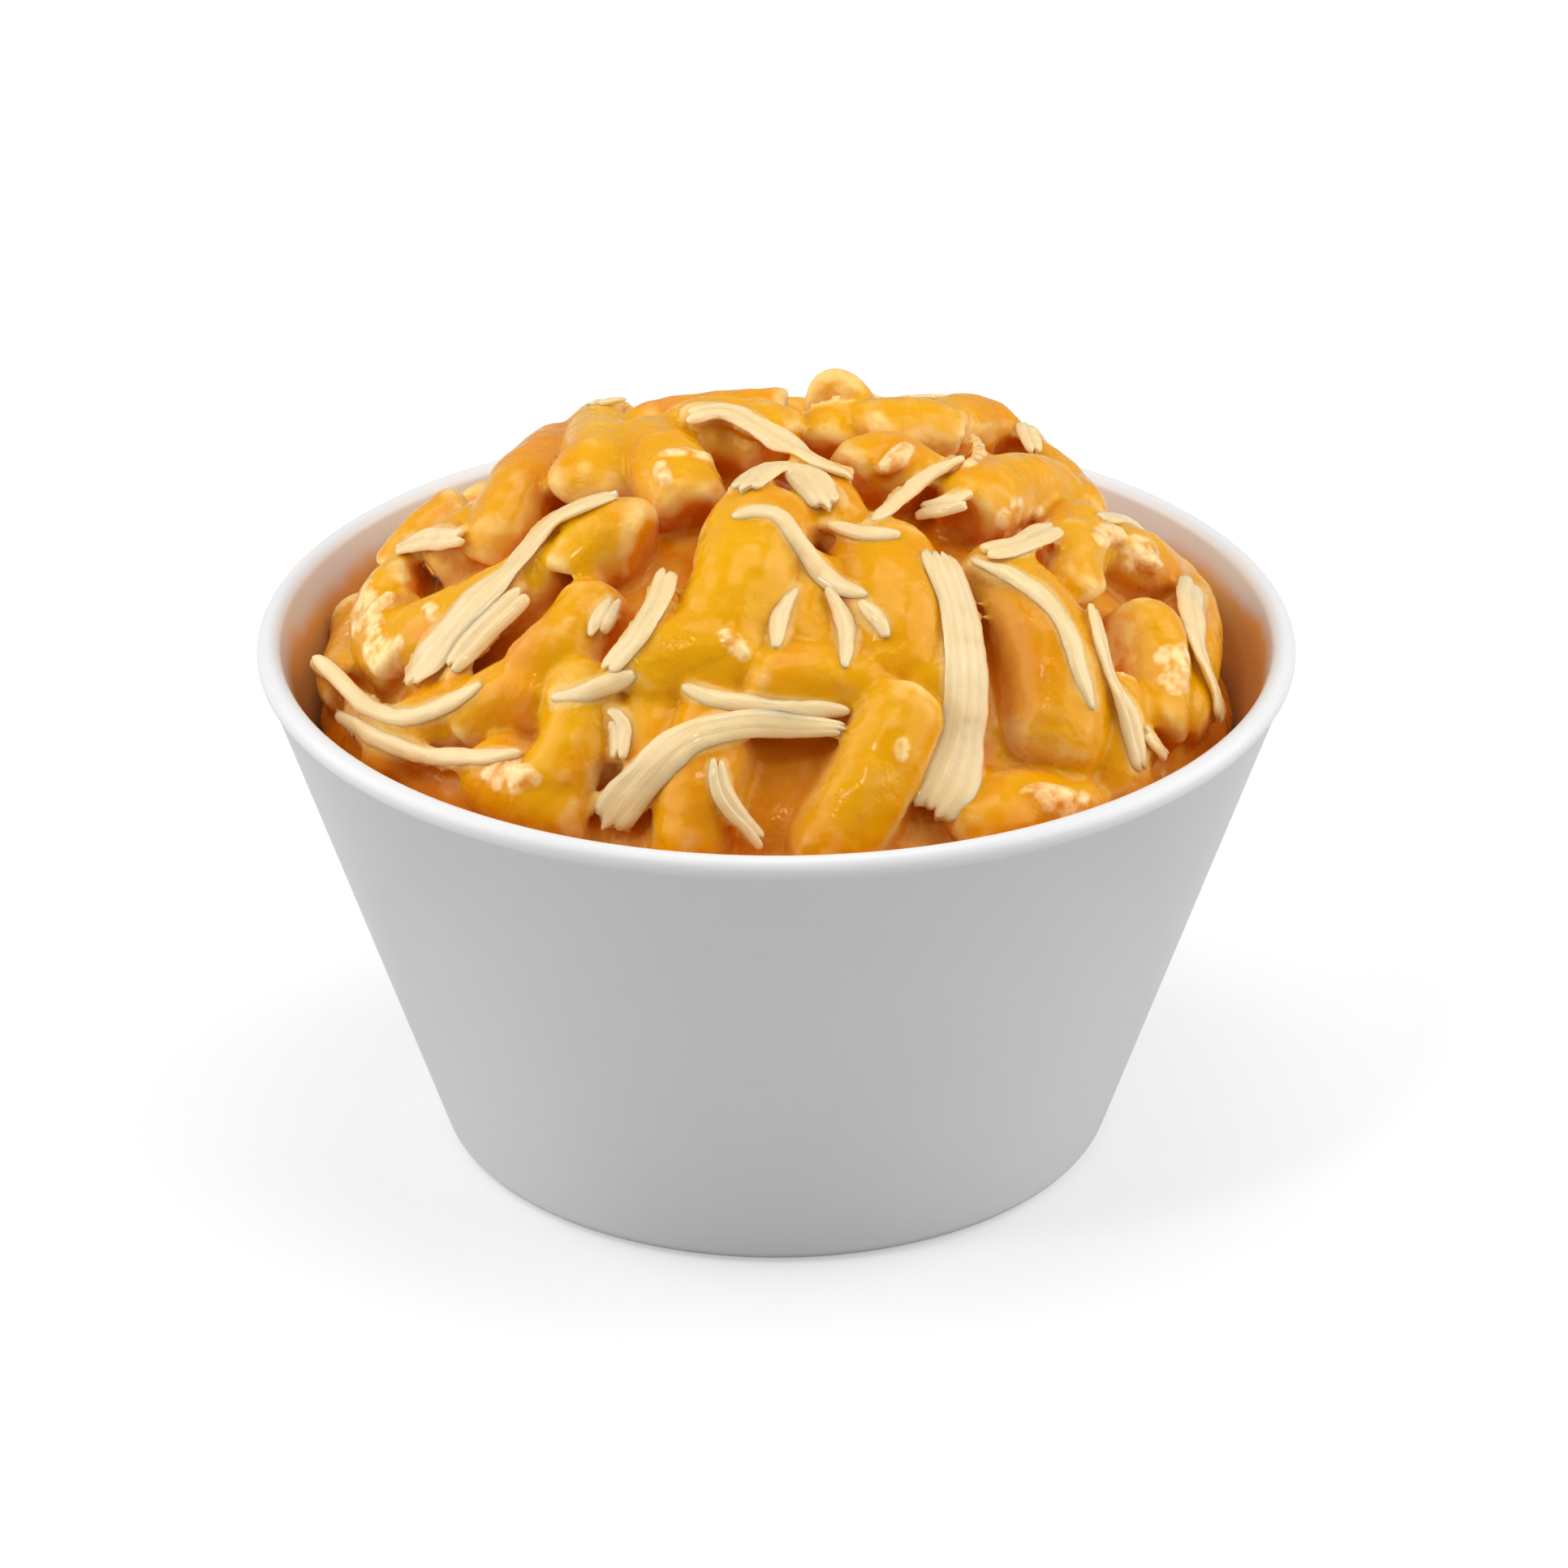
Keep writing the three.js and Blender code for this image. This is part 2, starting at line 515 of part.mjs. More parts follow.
// Each strip lies clear of the heap and of the strips laid before it.
let laid = makeHeap(elbows, GAP);
[...SHREDS, ...BACK_SHREDS].forEach(({ widths, line: places }, i) => {
  const from = i < SHREDS.length ? FROM_FRONT : FROM_ABOVE;
  let strip;
  let line;
  for (let raised = 0; raised <= SHRED_RAISES; raised++) {
    line = drapedLine(places, from, raised * SHRED_RAISE, heapMesh);
    strip = solidOf(makeStrip(line, widths, SHRED_THICKNESS));
    if (strip.intersect(laid).volume() < SHRED_TOUCH) break;
  }
  const free = oneBody(strip.subtract(laid));
  const wider = widths.map((width) => width + 2 * GAP);
  laid = laid.add(solidOf(makeStrip(line, wider, SHRED_THICKNESS + 2 * GAP)));
  part.add(named("shred_" + String(i + 1).padStart(2, "0"), geometryOf(free), cheese));
});

export default part;
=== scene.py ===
"""Macaroni and cheese in a plain white bowl.

Curved macaroni and the sauce that holds them are one skin, heaped over the bowl's rim, with froth and
melted cheese worked into it. Softened strips of grated cheese are laid over the top.
"""

import math

import bpy
import numpy as np
from bpy.props import FloatProperty, FloatVectorProperty, IntProperty, PointerProperty
from bpy.types import Operator, Panel, PropertyGroup
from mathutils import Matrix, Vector, noise
from mathutils.bvhtree import BVHTree


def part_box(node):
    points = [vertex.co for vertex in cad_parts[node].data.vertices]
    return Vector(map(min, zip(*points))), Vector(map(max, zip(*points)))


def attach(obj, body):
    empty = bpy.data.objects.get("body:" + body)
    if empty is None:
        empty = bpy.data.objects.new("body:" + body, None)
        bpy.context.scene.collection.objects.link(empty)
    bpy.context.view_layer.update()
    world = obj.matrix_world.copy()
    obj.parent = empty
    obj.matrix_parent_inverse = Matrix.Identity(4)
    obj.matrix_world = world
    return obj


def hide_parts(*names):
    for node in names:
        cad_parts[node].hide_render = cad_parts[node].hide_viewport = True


bl_info = {
    "name": "Macaroni and cheese",
    "version": (1, 0, 0),
    "blender": (4, 5, 0),
    "location": "3D View > Sidebar > Macaroni",
    "description": "Makes a bowl of macaroni in cheese sauce, topped with strips of grated cheese",
    "category": "Add Mesh",
}

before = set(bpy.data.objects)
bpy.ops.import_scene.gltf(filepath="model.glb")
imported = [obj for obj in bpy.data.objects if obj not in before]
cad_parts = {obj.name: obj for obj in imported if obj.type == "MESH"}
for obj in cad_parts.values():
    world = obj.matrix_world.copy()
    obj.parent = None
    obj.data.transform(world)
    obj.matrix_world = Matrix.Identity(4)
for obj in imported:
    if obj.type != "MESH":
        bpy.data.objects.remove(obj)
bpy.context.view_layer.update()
BODY = "root"
MM = 0.001
MERGE = 2e-6  # vertices of a turned shape closer than this are one

# Lengths below are in millimetres, and become metres where a mesh is made.

# Bowl
RIM_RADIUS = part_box("bowl")[1].y / MM  # the solid has flat sides, and only along Y does one reach the rim
BOWL_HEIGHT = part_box("bowl")[1].z / MM
FOOT_RADIUS = 35.6
WALL = 3.0
FLOOR = 3.4
LIP_ROUND = 1.3
LIP_PROUD = 0.35
HEEL_ROUND = 2.6
INNER_ROUND = 9.0
FOOT_RING = 3.2
FOOT_HOLLOW = 0.8
FOOT_SLOPE = 0.4  # how far the hollow's wall leans
FOOT_BEVEL = (0.2, 0.25)  # (inwards, up)
LIP_ARC = (-62, 176)  # where the lip's round begins and ends, in degrees from the outward direction
SHARP_ANGLE = math.radians(50)
# Painted bounce light and shade on the inner wall: full below the first height, gone above the second
BOUNCE_FULL = 53.0
BOUNCE_END = 55.5
BOUNCE_LEAN = (0.4, 2.5)  # how much higher it reaches towards the right, and towards the front

# Heap
GAP = 0.3
HEAP_EDGE = 49.5
HEAP_TOP = 77.0
HEAP_POWER = 3
CORE_EDGE = 47.5
CORE_TOP = 70.0
CORE_CUT = 43.0  # below this the heap is a plain core, out of sight
ROOM_TOP = 100.0  # well above the food

# Places are read on a drawing plane, as (across, up). It passes through the bowl's axis at AIM_HEIGHT and
# faces an eye that looks down on the bowl from the front.
EYE_DISTANCE = 800.0
EYE_ANGLE = math.radians(26.8)
AIM_HEIGHT = 30.0
SIGHT_STEP = 0.25

# The elbows of the front and the crown: outer radius, which ends are open (0 the first, 1 the last), how
# yellow it is (0 orange, 1 yellow), partly its sauce's own colour and partly painted shade for an elbow
# that lies in shade, and the axis as (across, up, lift).
PLACED_ELBOWS = [
    (4.6, (), 0.4, ((-31, 10, 0), (-25.5, 6, 0.5), (-19.5, 5, 0.5))),
    (4.2, (), 1.0, ((-21, 19, 0.5), (-21.5, 13, 2), (-23.5, 7, 1.5))),
    (4.6, (), 0.6, ((-6.5, 15, -0.5), (-8, 7, 1), (-10, -3, 0.5))),
    (4.8, (), 0.7, ((14, 16.5, 2), (10, 8, 2.5), (4.5, -3, 1))),
    (4.5, (), 0.5, ((19, 1, -0.5), (26, 4.5, 0.5), (34.5, 4, 0))),
    (4.5, (0,), 0.5, ((34.5, 18, 0), (35.5, 11, 0), (37, 5, 0))),
    (4.3, (0,), 0.6, ((41, 34, 0), (43.5, 24, 1), (42, 13, 0))),
    (4.5, (), 0.6, ((38, 25.5, 1.5), (40, 19, 2), (39.5, 13, 1))),
    (4.4, (1,), 0.8, ((35, 32, 1), (38.5, 30.5, 1.5), (42, 32, 1.5))),
    (4.0, (), 0.8, ((32.5, 35, 1), (31.5, 31, 1.5), (32, 27, 0.5))),
    (5.6, (), 0.3, ((20.5, 30, 0.5), (28.5, 22, 2.5), (29, 9, 1))),
    (5.6, (), 0.2, ((11, 32.5, 1.5), (12.5, 26, 2), (12.5, 18, 0))),
    (4.2, (), 1.0, ((13.5, 18.5, -0.5), (17, 18, 0), (20, 16, -1))),
    (5.8, (), 0.8, ((-1.5, 35.5, 3), (-3.5, 29, 3.5), (-7, 21.5, 1.5))),
    (4.6, (), 0.9, ((-15, 17, 1.5), (-9.5, 21, 2.5), (-2.5, 19.5, 1.5))),
    (4.4, (), 0.7, ((-3, 17.5, 0.5), (4, 18, 0.5), (10.5, 17, -0.5))),
    (4.2, (), 0.4, ((-12.5, 18, -1), (-13, 13, -0.5), (-12, 8, -1))),
    (4.4, (0,), 0.3, ((-26, 18.5, 0), (-22, 22, 1), (-19, 27, -0.5))),
    (4.3, (0,), 0.3, ((-33, 14, 0), (-28.5, 17, 1), (-24, 17, 0))),
    (4.4, (1,), 0.9, ((-14, 33.5, 2), (-18.5, 33, 2), (-22, 29, 0.5))),
    (4.8, (), 0.6, ((-38.5, 20, 0.5), (-41, 25, 2), (-37.5, 28.5, 1))),
    (4.8, (), 0.5, ((-22.5, 43.5, 1), (-27, 38, 2), (-30.5, 31, 0))),
    (4.3, (0,), 0.5, ((-40, 34, 0.5), (-37, 37, 1), (-32.5, 38.5, 0.5))),
    (4.4, (), 0.5, ((-36, 30.5, 0.5), (-31.5, 33.5, 0.5), (-27, 35, -0.5))),
    (4.4, (), 0.9, ((-19, 45.5, 2), (-18.5, 42, 2.5), (-21.5, 37, 1))),
    (4.5, (), 0.8, ((-14.5, 43.5, 1.5), (-11.5, 40.5, 2), (-9, 36, 0.5))),
    (4.8, (), 0.7, ((-10, 43.5, 2.5), (-5, 45, 3), (1, 42.5, 1.5))),
    (4.0, (), 0.9, ((6, 48.5, 4.5), (7, 47, 3), (6, 42.5, 0.5))),
    (4.4, (1,), 0.8, ((9, 43.5, 1.5), (13.5, 45, 2.5), (18, 43.5, 1.5))),
    (4.2, (), 0.6, ((16.5, 44.5, 2), (21, 46.5, 3), (24.5, 44, 1.5))),
    (4.3, (), 0.6, ((24.5, 43, 0.5), (29, 39.5, 1), (32, 35, 0))),
    (4.4, (), 0.5, ((7.5, 40, 1.5), (12, 41, 2), (16, 38, 0.5))),
    (4.3, (1,), 0.6, ((20, 36, 1.5), (25, 39, 2), (29.5, 37.5, 0.5))),
    (4.2, (), 0.7, ((0, 38.5, 2), (4, 37, 2), (7, 33, 0.5))),
    (4.2, (), 0.3, ((5, 30, 0), (3, 25, 0), (4.5, 20, -1))),
    (4.3, (), 0.5, ((-44.5, 28.5, 1.5), (-47, 23, 2.5), (-45.5, 17.5, 1.5))),
]

# The elbows of the back and the sides are spread by a rule.
FILL_TRIES = 160
FILL_SPACING = 8.0
FILL_LENGTH = (15, 20)
FILL_BOW = (2, 5)
FILL_RADIUS = (4.1, 4.8)
FILL_LIFT = (-1.5, 0.8)
FILL_TONE = (0.35, 0.85)
FILL_SEED = 7
DRAW_FACTOR = 16807
DRAW_RANGE = 2147483647

# A macaroni is modelled straight, with a radius and a length of 1, and each elbow is a bent copy.
TUBE_SIDES = 32
TUBE_RINGS = 22
CLOSED_END = (  # (radius, depth): a cut end whose hole is full of sauce
    (0, 0.012), (0.3, 0.008), (0.5, 0), (0.68, 0.004), (0.82, 0.022), (0.92, 0.055), (0.975, 0.1),
)
OPEN_END = (
    (0, 0.34), (0.4, 0.33), (0.53, 0.27), (0.58, 0.15), (0.61, 0.06), (0.66, 0.018), (0.75, 0),
    (0.88, 0.004), (0.96, 0.022), (0.99, 0.06),
)
BORE_EDGE = 0.62  # radius share inside which a vertex belongs to the bore of an open end
BORE_LENGTH = 0.4  # how far in from that end it may lie
OVAL = 0.07
SWELL = 0.05

# Sauce
SAUCE_INSET = 0.3  # how far the sauce lies below the elbows' surface
SAUCE_RISE = 1.2  # how far its middle rises over the core
SAUCE_REACH = (0.08, 0.92)  # the stretch of an elbow's length that it follows
BORE_REACH = 0.38  # it starts this far in from an open end
SAUCE_VOXEL = 0.85
SAUCE_SMOOTHING = 14
BED_SIDES = 96
BED_RINGS = 14
HEAP_VOXEL = 0.55
HEAP_SMOOTHING = 2
DENT_LENGTH = 8.0
SKIN_LENGTH = 4.0  # finer dents, a third as deep
TONE_BLEND = 0.08  # how softly one elbow's colour passes into the next, as a share of their radius

# Food that lies this far down in the heap is painted darker, as shade.
DEEP_FROM = 2.0
DEEP_TO = 9.0
DEEP_SHADE = 0.45
SIDE_SHADE = 0.22  # and so is a side that is turned away from the heap's outside

# How open a place is, is measured along rays to the sky.
SKY_RAYS = 14
SKY_HEIGHTS = (0.12, 0.98)  # how steeply the lowest and the highest of them rise
SKY_REACH = 18.0  # what is further away than this leaves the food in the open
SKY_START = 0.4  # the rays start this far off the surface
CREST_ROUNDS = 6  # a crest stands out from the surface smoothed so many times

# Clusters of small sauce beads: middle as (across, up), spread as (across, up), and how many.
FROTH = [
    ((-44.5, 25.5), (1.6, 5.0), 30),
    ((-41.5, 21.0), (1.5, 2.2), 10),
    ((-28.8, 8.8), (2.8, 1.8), 16),
    ((43.0, 20.8), (1.6, 3.0), 14),
    ((38.6, 32.6), (2.4, 1.6), 14),
    ((43.0, 34.6), (2.6, 1.4), 12),
    ((26.6, 36.0), (2.6, 2.6), 14),
    ((30.2, 6.0), (3.6, 1.2), 14),
]
BEAD_RADIUS = (0.6, 1.3)
BEAD_SHARE = (1.15, 0.5)  # size of a bead in the middle of a cluster, and how much less it is at the edge
BEAD_SUNK = 0.8  # share of a bead's width that is sunk
FROTH_SEED = 11
MARK_BLEND = 0.5  # how far beyond a bead or ridge its colour fades out
MARK_FADE = 0.12  # how softly a bore or the sauce begins, as a share of an elbow's radius

# Streaks of melted cheese: the width and the middle line.
MELTS = [
    (1.8, ((-13.6, 42.4), (-11.5, 43.4), (-8.5, 43.0), (-6.4, 42.6))),
    (1.6, ((-12.6, 43.0), (-12.2, 41.0), (-11.0, 39.6))),
    (2.0, ((-7.2, 24.6), (-5.0, 23.6), (-3.4, 21.6), (-2.6, 20.4))),
    (1.6, ((42.0, 22.6), (43.4, 22.0), (44.0, 19.6), (43.0, 17.6))),
    (2.2, ((25.8, 6.6), (29.0, 7.2), (33.4, 6.2))),
    (2.0, ((-40.4, 29.4), (-42.0, 27.6), (-44.0, 26.0))),
    (2.0, ((-38.4, 27.4), (-37.0, 26.4), (-36.8, 24.6))),
    (2.0, ((-44.6, 22.6), (-43.0, 20.4), (-42.6, 18.4))),
    (2.2, ((-29.6, 10.2), (-27.6, 8.6), (-25.4, 8.4))),
    (1.8, ((10.4, 41.0), (13.0, 42.8), (14.6, 44.6))),
    (1.8, ((20.4, 41.6), (22.0, 43.6), (21.2, 45.4))),
    (2.2, ((33.8, 33.6), (35.8, 35.0), (37.8, 34.6))),
    (2.0, ((41.6, 36.4), (43.0, 34.4), (44.4, 34.8))),
    (2.0, ((38.6, 31.2), (40.6, 31.8), (41.8, 30.2))),
    (1.6, ((13.0, 13.4), (13.8, 11.6), (13.4, 9.8))),
]
MELT_DEPTH = 1.3
MELT_SUNK = 0.55

# The strips of grated cheese of the front and the crown: the widths of the two ends, and the middle line
# as (across, up), with a lift where a strip stands higher over the heap.
SHREDS = [
    ((3.6, 4.6), ((-17, 39), (-23.5, 36.5), (-28.5, 31), (-34.5, 25), (-40, 18))),
    ((3.2, 3), ((-26.5, 29), (-31, 24.5), (-36, 19))),
    ((1.8, 2.2), ((-50, 21.5, 3.5), (-47, 18.9, 1), (-43.5, 15.7), (-38, 15.2), (-31.5, 18.5))),
    ((2.2, 1.8), ((-48, 15.5), (-42.5, 12.5), (-36.5, 10.5), (-27, 11))),
    ((4.6, 6), ((17, 33.3), (19.3, 28), (20.3, 22.5), (20.4, 16), (19.2, 10), (16.6, 4))),
    ((2.4, 2.4), ((-5, 36.5), (-0.5, 37), (2.5, 33.5), (5.5, 29.5), (10, 28))),
    ((1.8, 1.8), ((5, 29.5), (7.5, 25), (7.5, 19.5))),
    ((1.8, 1.8), ((2.5, 29.5), (0.5, 26), (0, 21.5))),
    ((2, 2), ((8, 28.5), (11, 25.5), (12, 22.5))),
    ((2, 2), ((-10.5, 18.5), (-5, 16.5), (2, 15.5), (8, 15.5))),
    ((1.8, 5.2), ((8, 13.5), (-0.5, 14), (-8.5, 13), (-13.5, 9), (-19, 2.5))),
    ((2, 2.6), ((-6.5, 11.5), (-5.5, 6.5), (-3, 3), (-1, 0.5))),
    ((2.6, 2.6), ((34, 27), (35.5, 20.5), (38, 14.5), (39.5, 8))),
    ((2.4, 2.4), ((20.5, 32), (26.5, 29.5), (31, 25), (34, 15.5))),
    ((4.4, 4.4), ((-4, 39), (-0.5, 42), (3, 41), (6, 37))),
    ((3, 3), ((-10.5, 47), (-6, 48), (-1.5, 46), (4, 42.5), (9, 40.5))),
    ((3.4, 3.4), ((15, 37), (21.5, 38.5))),
    ((3.4, 3.4), ((22, 32.5), (26.5, 33.5), (30.5, 35.5))),
    ((3.4, 3.4), ((-11.5, 31), (-13.5, 26), (-18.5, 19.5))),
    ((2.6, 2.6), ((-17, 28), (-19.5, 23))),
    ((3.4, 3.4), ((46, 32.5), (44.5, 27.5), (45.5, 22), (47.5, 17), (47.5, 14))),
    ((3, 3), ((39.5, 13.5), (42, 10.5))),
    ((2.2, 2.2), ((-25, 17), (-20.5, 17.5), (-14.5, 20))),
    ((3, 3), ((-19, 15), (-17, 14.5), (-17, 9.5))),
    ((1.8, 1.8), ((10, 35.5), (15, 40), (20.5, 43))),
    ((2.6, 2.6), ((-41.5, 32.5), (-38, 34), (-33, 34.5))),
    ((2, 2), ((34.5, 36.5), (41, 36))),
    ((2, 2), ((4.5, 36), (9, 34.5), (13.5, 34.5))),
]
# The strips of the back, which the front's lines of sight don't reach: the middle line as (x, y).
BACK_SHREDS = [
    ((3, 3.6), ((-36, 8), (-31, 14.5), (-28.5, 22))),
    ((4, 4.6), ((-20.5, 17.5), (-18, 23.5), (-20.5, 30))),
    ((2.4, 2), ((-12, 27), (-8.5, 33.5), (-1, 38.5), (6, 40))),
    ((2.2, 2.2), ((3, 36), (9, 31.5), (16, 31))),
    ((3.6, 3), ((5, 20.5), (11, 23.5), (18, 21))),
    ((2.4, 2.8), ((13, 37.5), (20, 34), (26, 34))),
    ((2.6, 2.2), ((31, 28), (27, 21.5), (28, 14.5))),
]
SHRED_STEP = 1.0
SHRED_DIVE = 0.5  # how steeply a strip may sink into a gap
SHRED_SUNK = 0.5  # how far it is pressed into what it lies on
SHRED_PROBES = (-0.32, 0, 0.32)  # where across its width it feels for the food
LINE_STEPS = 24  # steps between two places of a smooth line
STRIP_RINGS = 46
STRIP_SIDES = 28
STRIP_END = ((0, 0), (0.45, 0.002), (0.78, 0.01), (0.95, 0.03))  # (radius, depth)
STRIP_LENS = (0.9, 1.25)  # 1 is an oval section; the first squares its sides, the second thins its edges
STRIP_WANDER = 0.4  # how far it wanders sideways
WANDER_LENGTH = 7  # the length over which it does so
WIDTH_WANDER = 0.22  # how much its width varies, as a share
WIDTH_LENGTH = 5  # the length over which it does so
# A wide strip is a few strands that have melted together side by side.
STRAND_WIDTH = 1.7
STRAND_GROOVE = 0.36  # depth of the grooves between them, as a share of the thickness
FRAY = 1.5  # how much further one strand reaches than another
TIP_WIDTH = 0.25
TIP_LENGTH = 5.0
CHEESE_REACH = 10.0  # as SKY_REACH, for the strips
CHEESE_LUMPS = (3.0, 0.4)  # length and depth of the unevenness of their surface
CHEESE_SEED = 23
# Each strip has melted a little into the sauce, which rises beside it as a low pale ridge.
MELTED_WIDER = 0.5
MELTED_DEPTH = 1.0
MELTED_SUNK = 0.72
MELTED_SEED = 29

# Looks
SOFT_GLOW = (1.0, 0.8, 0.5)  # how far red, green and blue light travel in the food, against each other

# Stage, in metres: each light's place, its width and the setting that gives its power.
LIGHTS = {
    "light_top": ((0.05, 0.1, 1.0), 0.6, "top"),
    "light_key": ((-0.3, -0.45, 0.95), 0.12, "key"),
    "light_front": ((0.0, -1.1, 0.55), 1.0, "front"),
    "light_left": ((-1.05, 0.0, 0.6), 1.5, "sides"),
    "light_right": ((1.05, 0.0, 0.6), 1.5, "sides"),
}
LIGHTS_AIM = Vector((0, 0, 0.04))
FLOOR_SIZE = 6
CAMERA_LENS = 170.7
CAMERA_SENSOR = 36
CAMERA_SHIFT = (0.0049, 0.0458)

GOLDEN_ANGLE = math.pi * (3 - math.sqrt(5))

WALL_ANGLE = math.atan2(RIM_RADIUS - LIP_PROUD - FOOT_RADIUS, BOWL_HEIGHT - 2 * LIP_ROUND)


# ---------------------------------------------------------------- settings


def length(name, description, default):
    return FloatProperty(
        name=name, description=description, default=default, min=0, unit="LENGTH", subtype="DISTANCE"
    )


def share(name, description, default):
    return FloatProperty(
        name=name, description=description, default=default, min=0, max=1, subtype="FACTOR"
    )


def colour(name, description, default):
    return FloatVectorProperty(
        name=name, description=description, default=default, size=3, min=0, max=1, subtype="COLOR"
    )


def power(name, description, default):
    return FloatProperty(name=name, description=description, default=default, min=0, unit="POWER")


class BowlSettings(PropertyGroup):
    sides: IntProperty(name="Sides", description="Faces round the bowl", default=192, min=24, max=512)
    glaze: colour("Glaze", "Colour of the bowl", (0.72, 0.72, 0.72))
    # Painted bounce light and shade: the sauce's orange light and the shade on the inner wall
    painted_bounce: colour("Stain", "Colour of the sauce smeared on the inner wall", (0.8, 0.4, 0.06))
    roughness: share("Roughness", "Roughness of the glaze", 0.38)


class MacaroniSettings(PropertyGroup):
    dent: length("Dents", "How far a macaroni's wall is dented and swollen", 0.0008)
    # Deep is painted shade, the colour in the gaps; Orange is also the half-shaded step of a yellow elbow
    gap_shade: colour("Deep", "Colour of the pasta in the gaps of the heap", (0.66, 0.18, 0.0015))
    orange: colour("Orange", "Colour of the orange pasta", (0.7, 0.25, 0.0004))
    yellow: colour("Yellow", "Colour of the yellow pasta", (0.73, 0.36, 0.0004))
    # Film is both a thin pale film of sauce and a painted sheen on the elbows' sides and crests
    film_and_sheen: colour("Film", "Colour of the thin pale sauce on it", (0.82, 0.56, 0.2))
    bead: colour("Beads", "Colour of the beads of sauce and streaks of melted cheese", (0.94, 0.68, 0.32))
    roughness: share("Roughness", "Roughness of the wet sauce", 0.15)


class SauceSettings(PropertyGroup):
    # Deep and Light are a shaded and a lit copy of the sauce's colour: painted shade and light
    gap_shade: colour("Deep", "Colour of the sauce in the gaps", (0.66, 0.18, 0.0015))
    light: colour("Light", "Colour of the sauce where it lies open", (0.9, 0.4, 0.002))


class CheeseSettings(PropertyGroup):
    thickness: length("Thickness", "Thickness of a strip of grated cheese", 0.0011)
    pale: colour("Pale", "Colour of the cheese", (0.95, 0.88, 0.82))
    # Warm is both the colour of soaked sauce and painted shade at the edges and in hidden places
    warm_and_shade: colour("Warm", "Colour at its edges and where sauce has soaked in", (0.89, 0.58, 0.29))
    roughness: share("Roughness", "Roughness of the cheese", 0.4)


class StudioSettings(PropertyGroup):
    floor: colour("Floor", "Colour of the floor", (0.55, 0.55, 0.55))
    lift: share("Floor lift", "How much whiter than its light the floor looks", 0.41)
    sky: FloatProperty(name="Sky", description="Strength of the even light", default=0.35, min=0)
    top: power("Top", "Power of the light above", 2.9)
    key: power("Key", "Power of the small light that draws highlights", 1.2)
    front: power("Front", "Power of the fill light", 0.2)
    sides: power("Sides", "Power of each light beside the bowl", 13.0)


# ---------------------------------------------------------------- the heap's shape


def inner_radius(height):
    """Radius of the bowl's inner face at a height."""
    return FOOT_RADIUS + height * math.tan(WALL_ANGLE) - WALL / math.cos(WALL_ANGLE)


def dome_height(radius, edge, top):
    """Height of a dome at a distance from the axis."""
    part = min(radius / inner_radius(edge), 1)
    return edge + (top - edge) * (1 - part**HEAP_POWER)


def heap_height(x, y):
    """Height of the heap's surface, level with the tops of its elbows."""
    return dome_height(math.hypot(x, y), HEAP_EDGE, HEAP_TOP)


def heap_depths(places):
    """How far below the heap's surface each place lies. The places are in metres, as a mesh's are."""
    part = np.minimum(np.hypot(*places[:, :2].T) / MM / inner_radius(HEAP_EDGE), 1)
    return HEAP_EDGE + (HEAP_TOP - HEAP_EDGE) * (1 - part**HEAP_POWER) - places[:, 2] / MM


def heap_directions(places):
    """For each place, the direction that faces out of the heap's surface."""
    radius = np.hypot(*places[:, :2].T) / MM
    edge = inner_radius(HEAP_EDGE)
    fall = HEAP_POWER * (HEAP_TOP - HEAP_EDGE) * np.minimum(radius / edge, 1) ** (HEAP_POWER - 1) / edge
    flat = places[:, :2] / MM * (fall / np.maximum(radius, 1e-9))[:, None]
    return unit(np.column_stack((flat, np.ones(len(flat)))))


def unit(vectors):
    return vectors / np.linalg.norm(vectors, axis=1)[:, None]


EYE = Vector((0, -EYE_DISTANCE * math.cos(EYE_ANGLE), AIM_HEIGHT + EYE_DISTANCE * math.sin(EYE_ANGLE)))


def sight(across, up):
    """Direction of the line of sight through a place on the drawing plane."""
    place = Vector((across, up * math.sin(EYE_ANGLE), AIM_HEIGHT + up * math.cos(EYE_ANGLE)))
    return (place - EYE).normalized()


def onto_heap(across, up, lift):
    """Where a line of sight comes within a height of the heap's surface. One that passes over the crown is
    brought down to it where it passes nearest."""
    direction = sight(across, up)
    least = math.inf
    nearest = None
    for step in range(int(2 * RIM_RADIUS / SIGHT_STEP)):
        point = EYE + direction * (EYE_DISTANCE - RIM_RADIUS + step * SIGHT_STEP)
        if math.hypot(point.x, point.y) > inner_radius(point.z):
            continue
        above = point.z - heap_height(point.x, point.y) - lift
        if above >= least:
            continue
        least = above
        nearest = point
        nearest.z -= max(above, 0)
        if above <= 0:
            break
    return nearest


def keep_inside(point, radius):
    """Moves a point towards the axis until a ball of that radius is clear of the bowl's wall."""
    most = inner_radius(point.z) - (radius + GAP) / math.cos(WALL_ANGLE)
    now = math.hypot(point.x, point.y)
    if now > most:
        point.x *= most / now
        point.y *= most / now
    return point


def make_draw(seed):
    """Numbers that come out the same every time."""
    state = seed

    def draw(limits):
        nonlocal state
        state = state * DRAW_FACTOR % DRAW_RANGE
        return limits[0] + (limits[1] - limits[0]) * state / DRAW_RANGE

    return draw


def placed_elbows():
    elbows = []
    for radius, ends, tone, axis in PLACED_ELBOWS:
        points = [
            keep_inside(onto_heap(across, up, lift - radius), radius) for across, up, lift in axis
        ]
        elbows.append({"radius": radius, "open": ends, "tone": tone, "points": points})
    return elbows


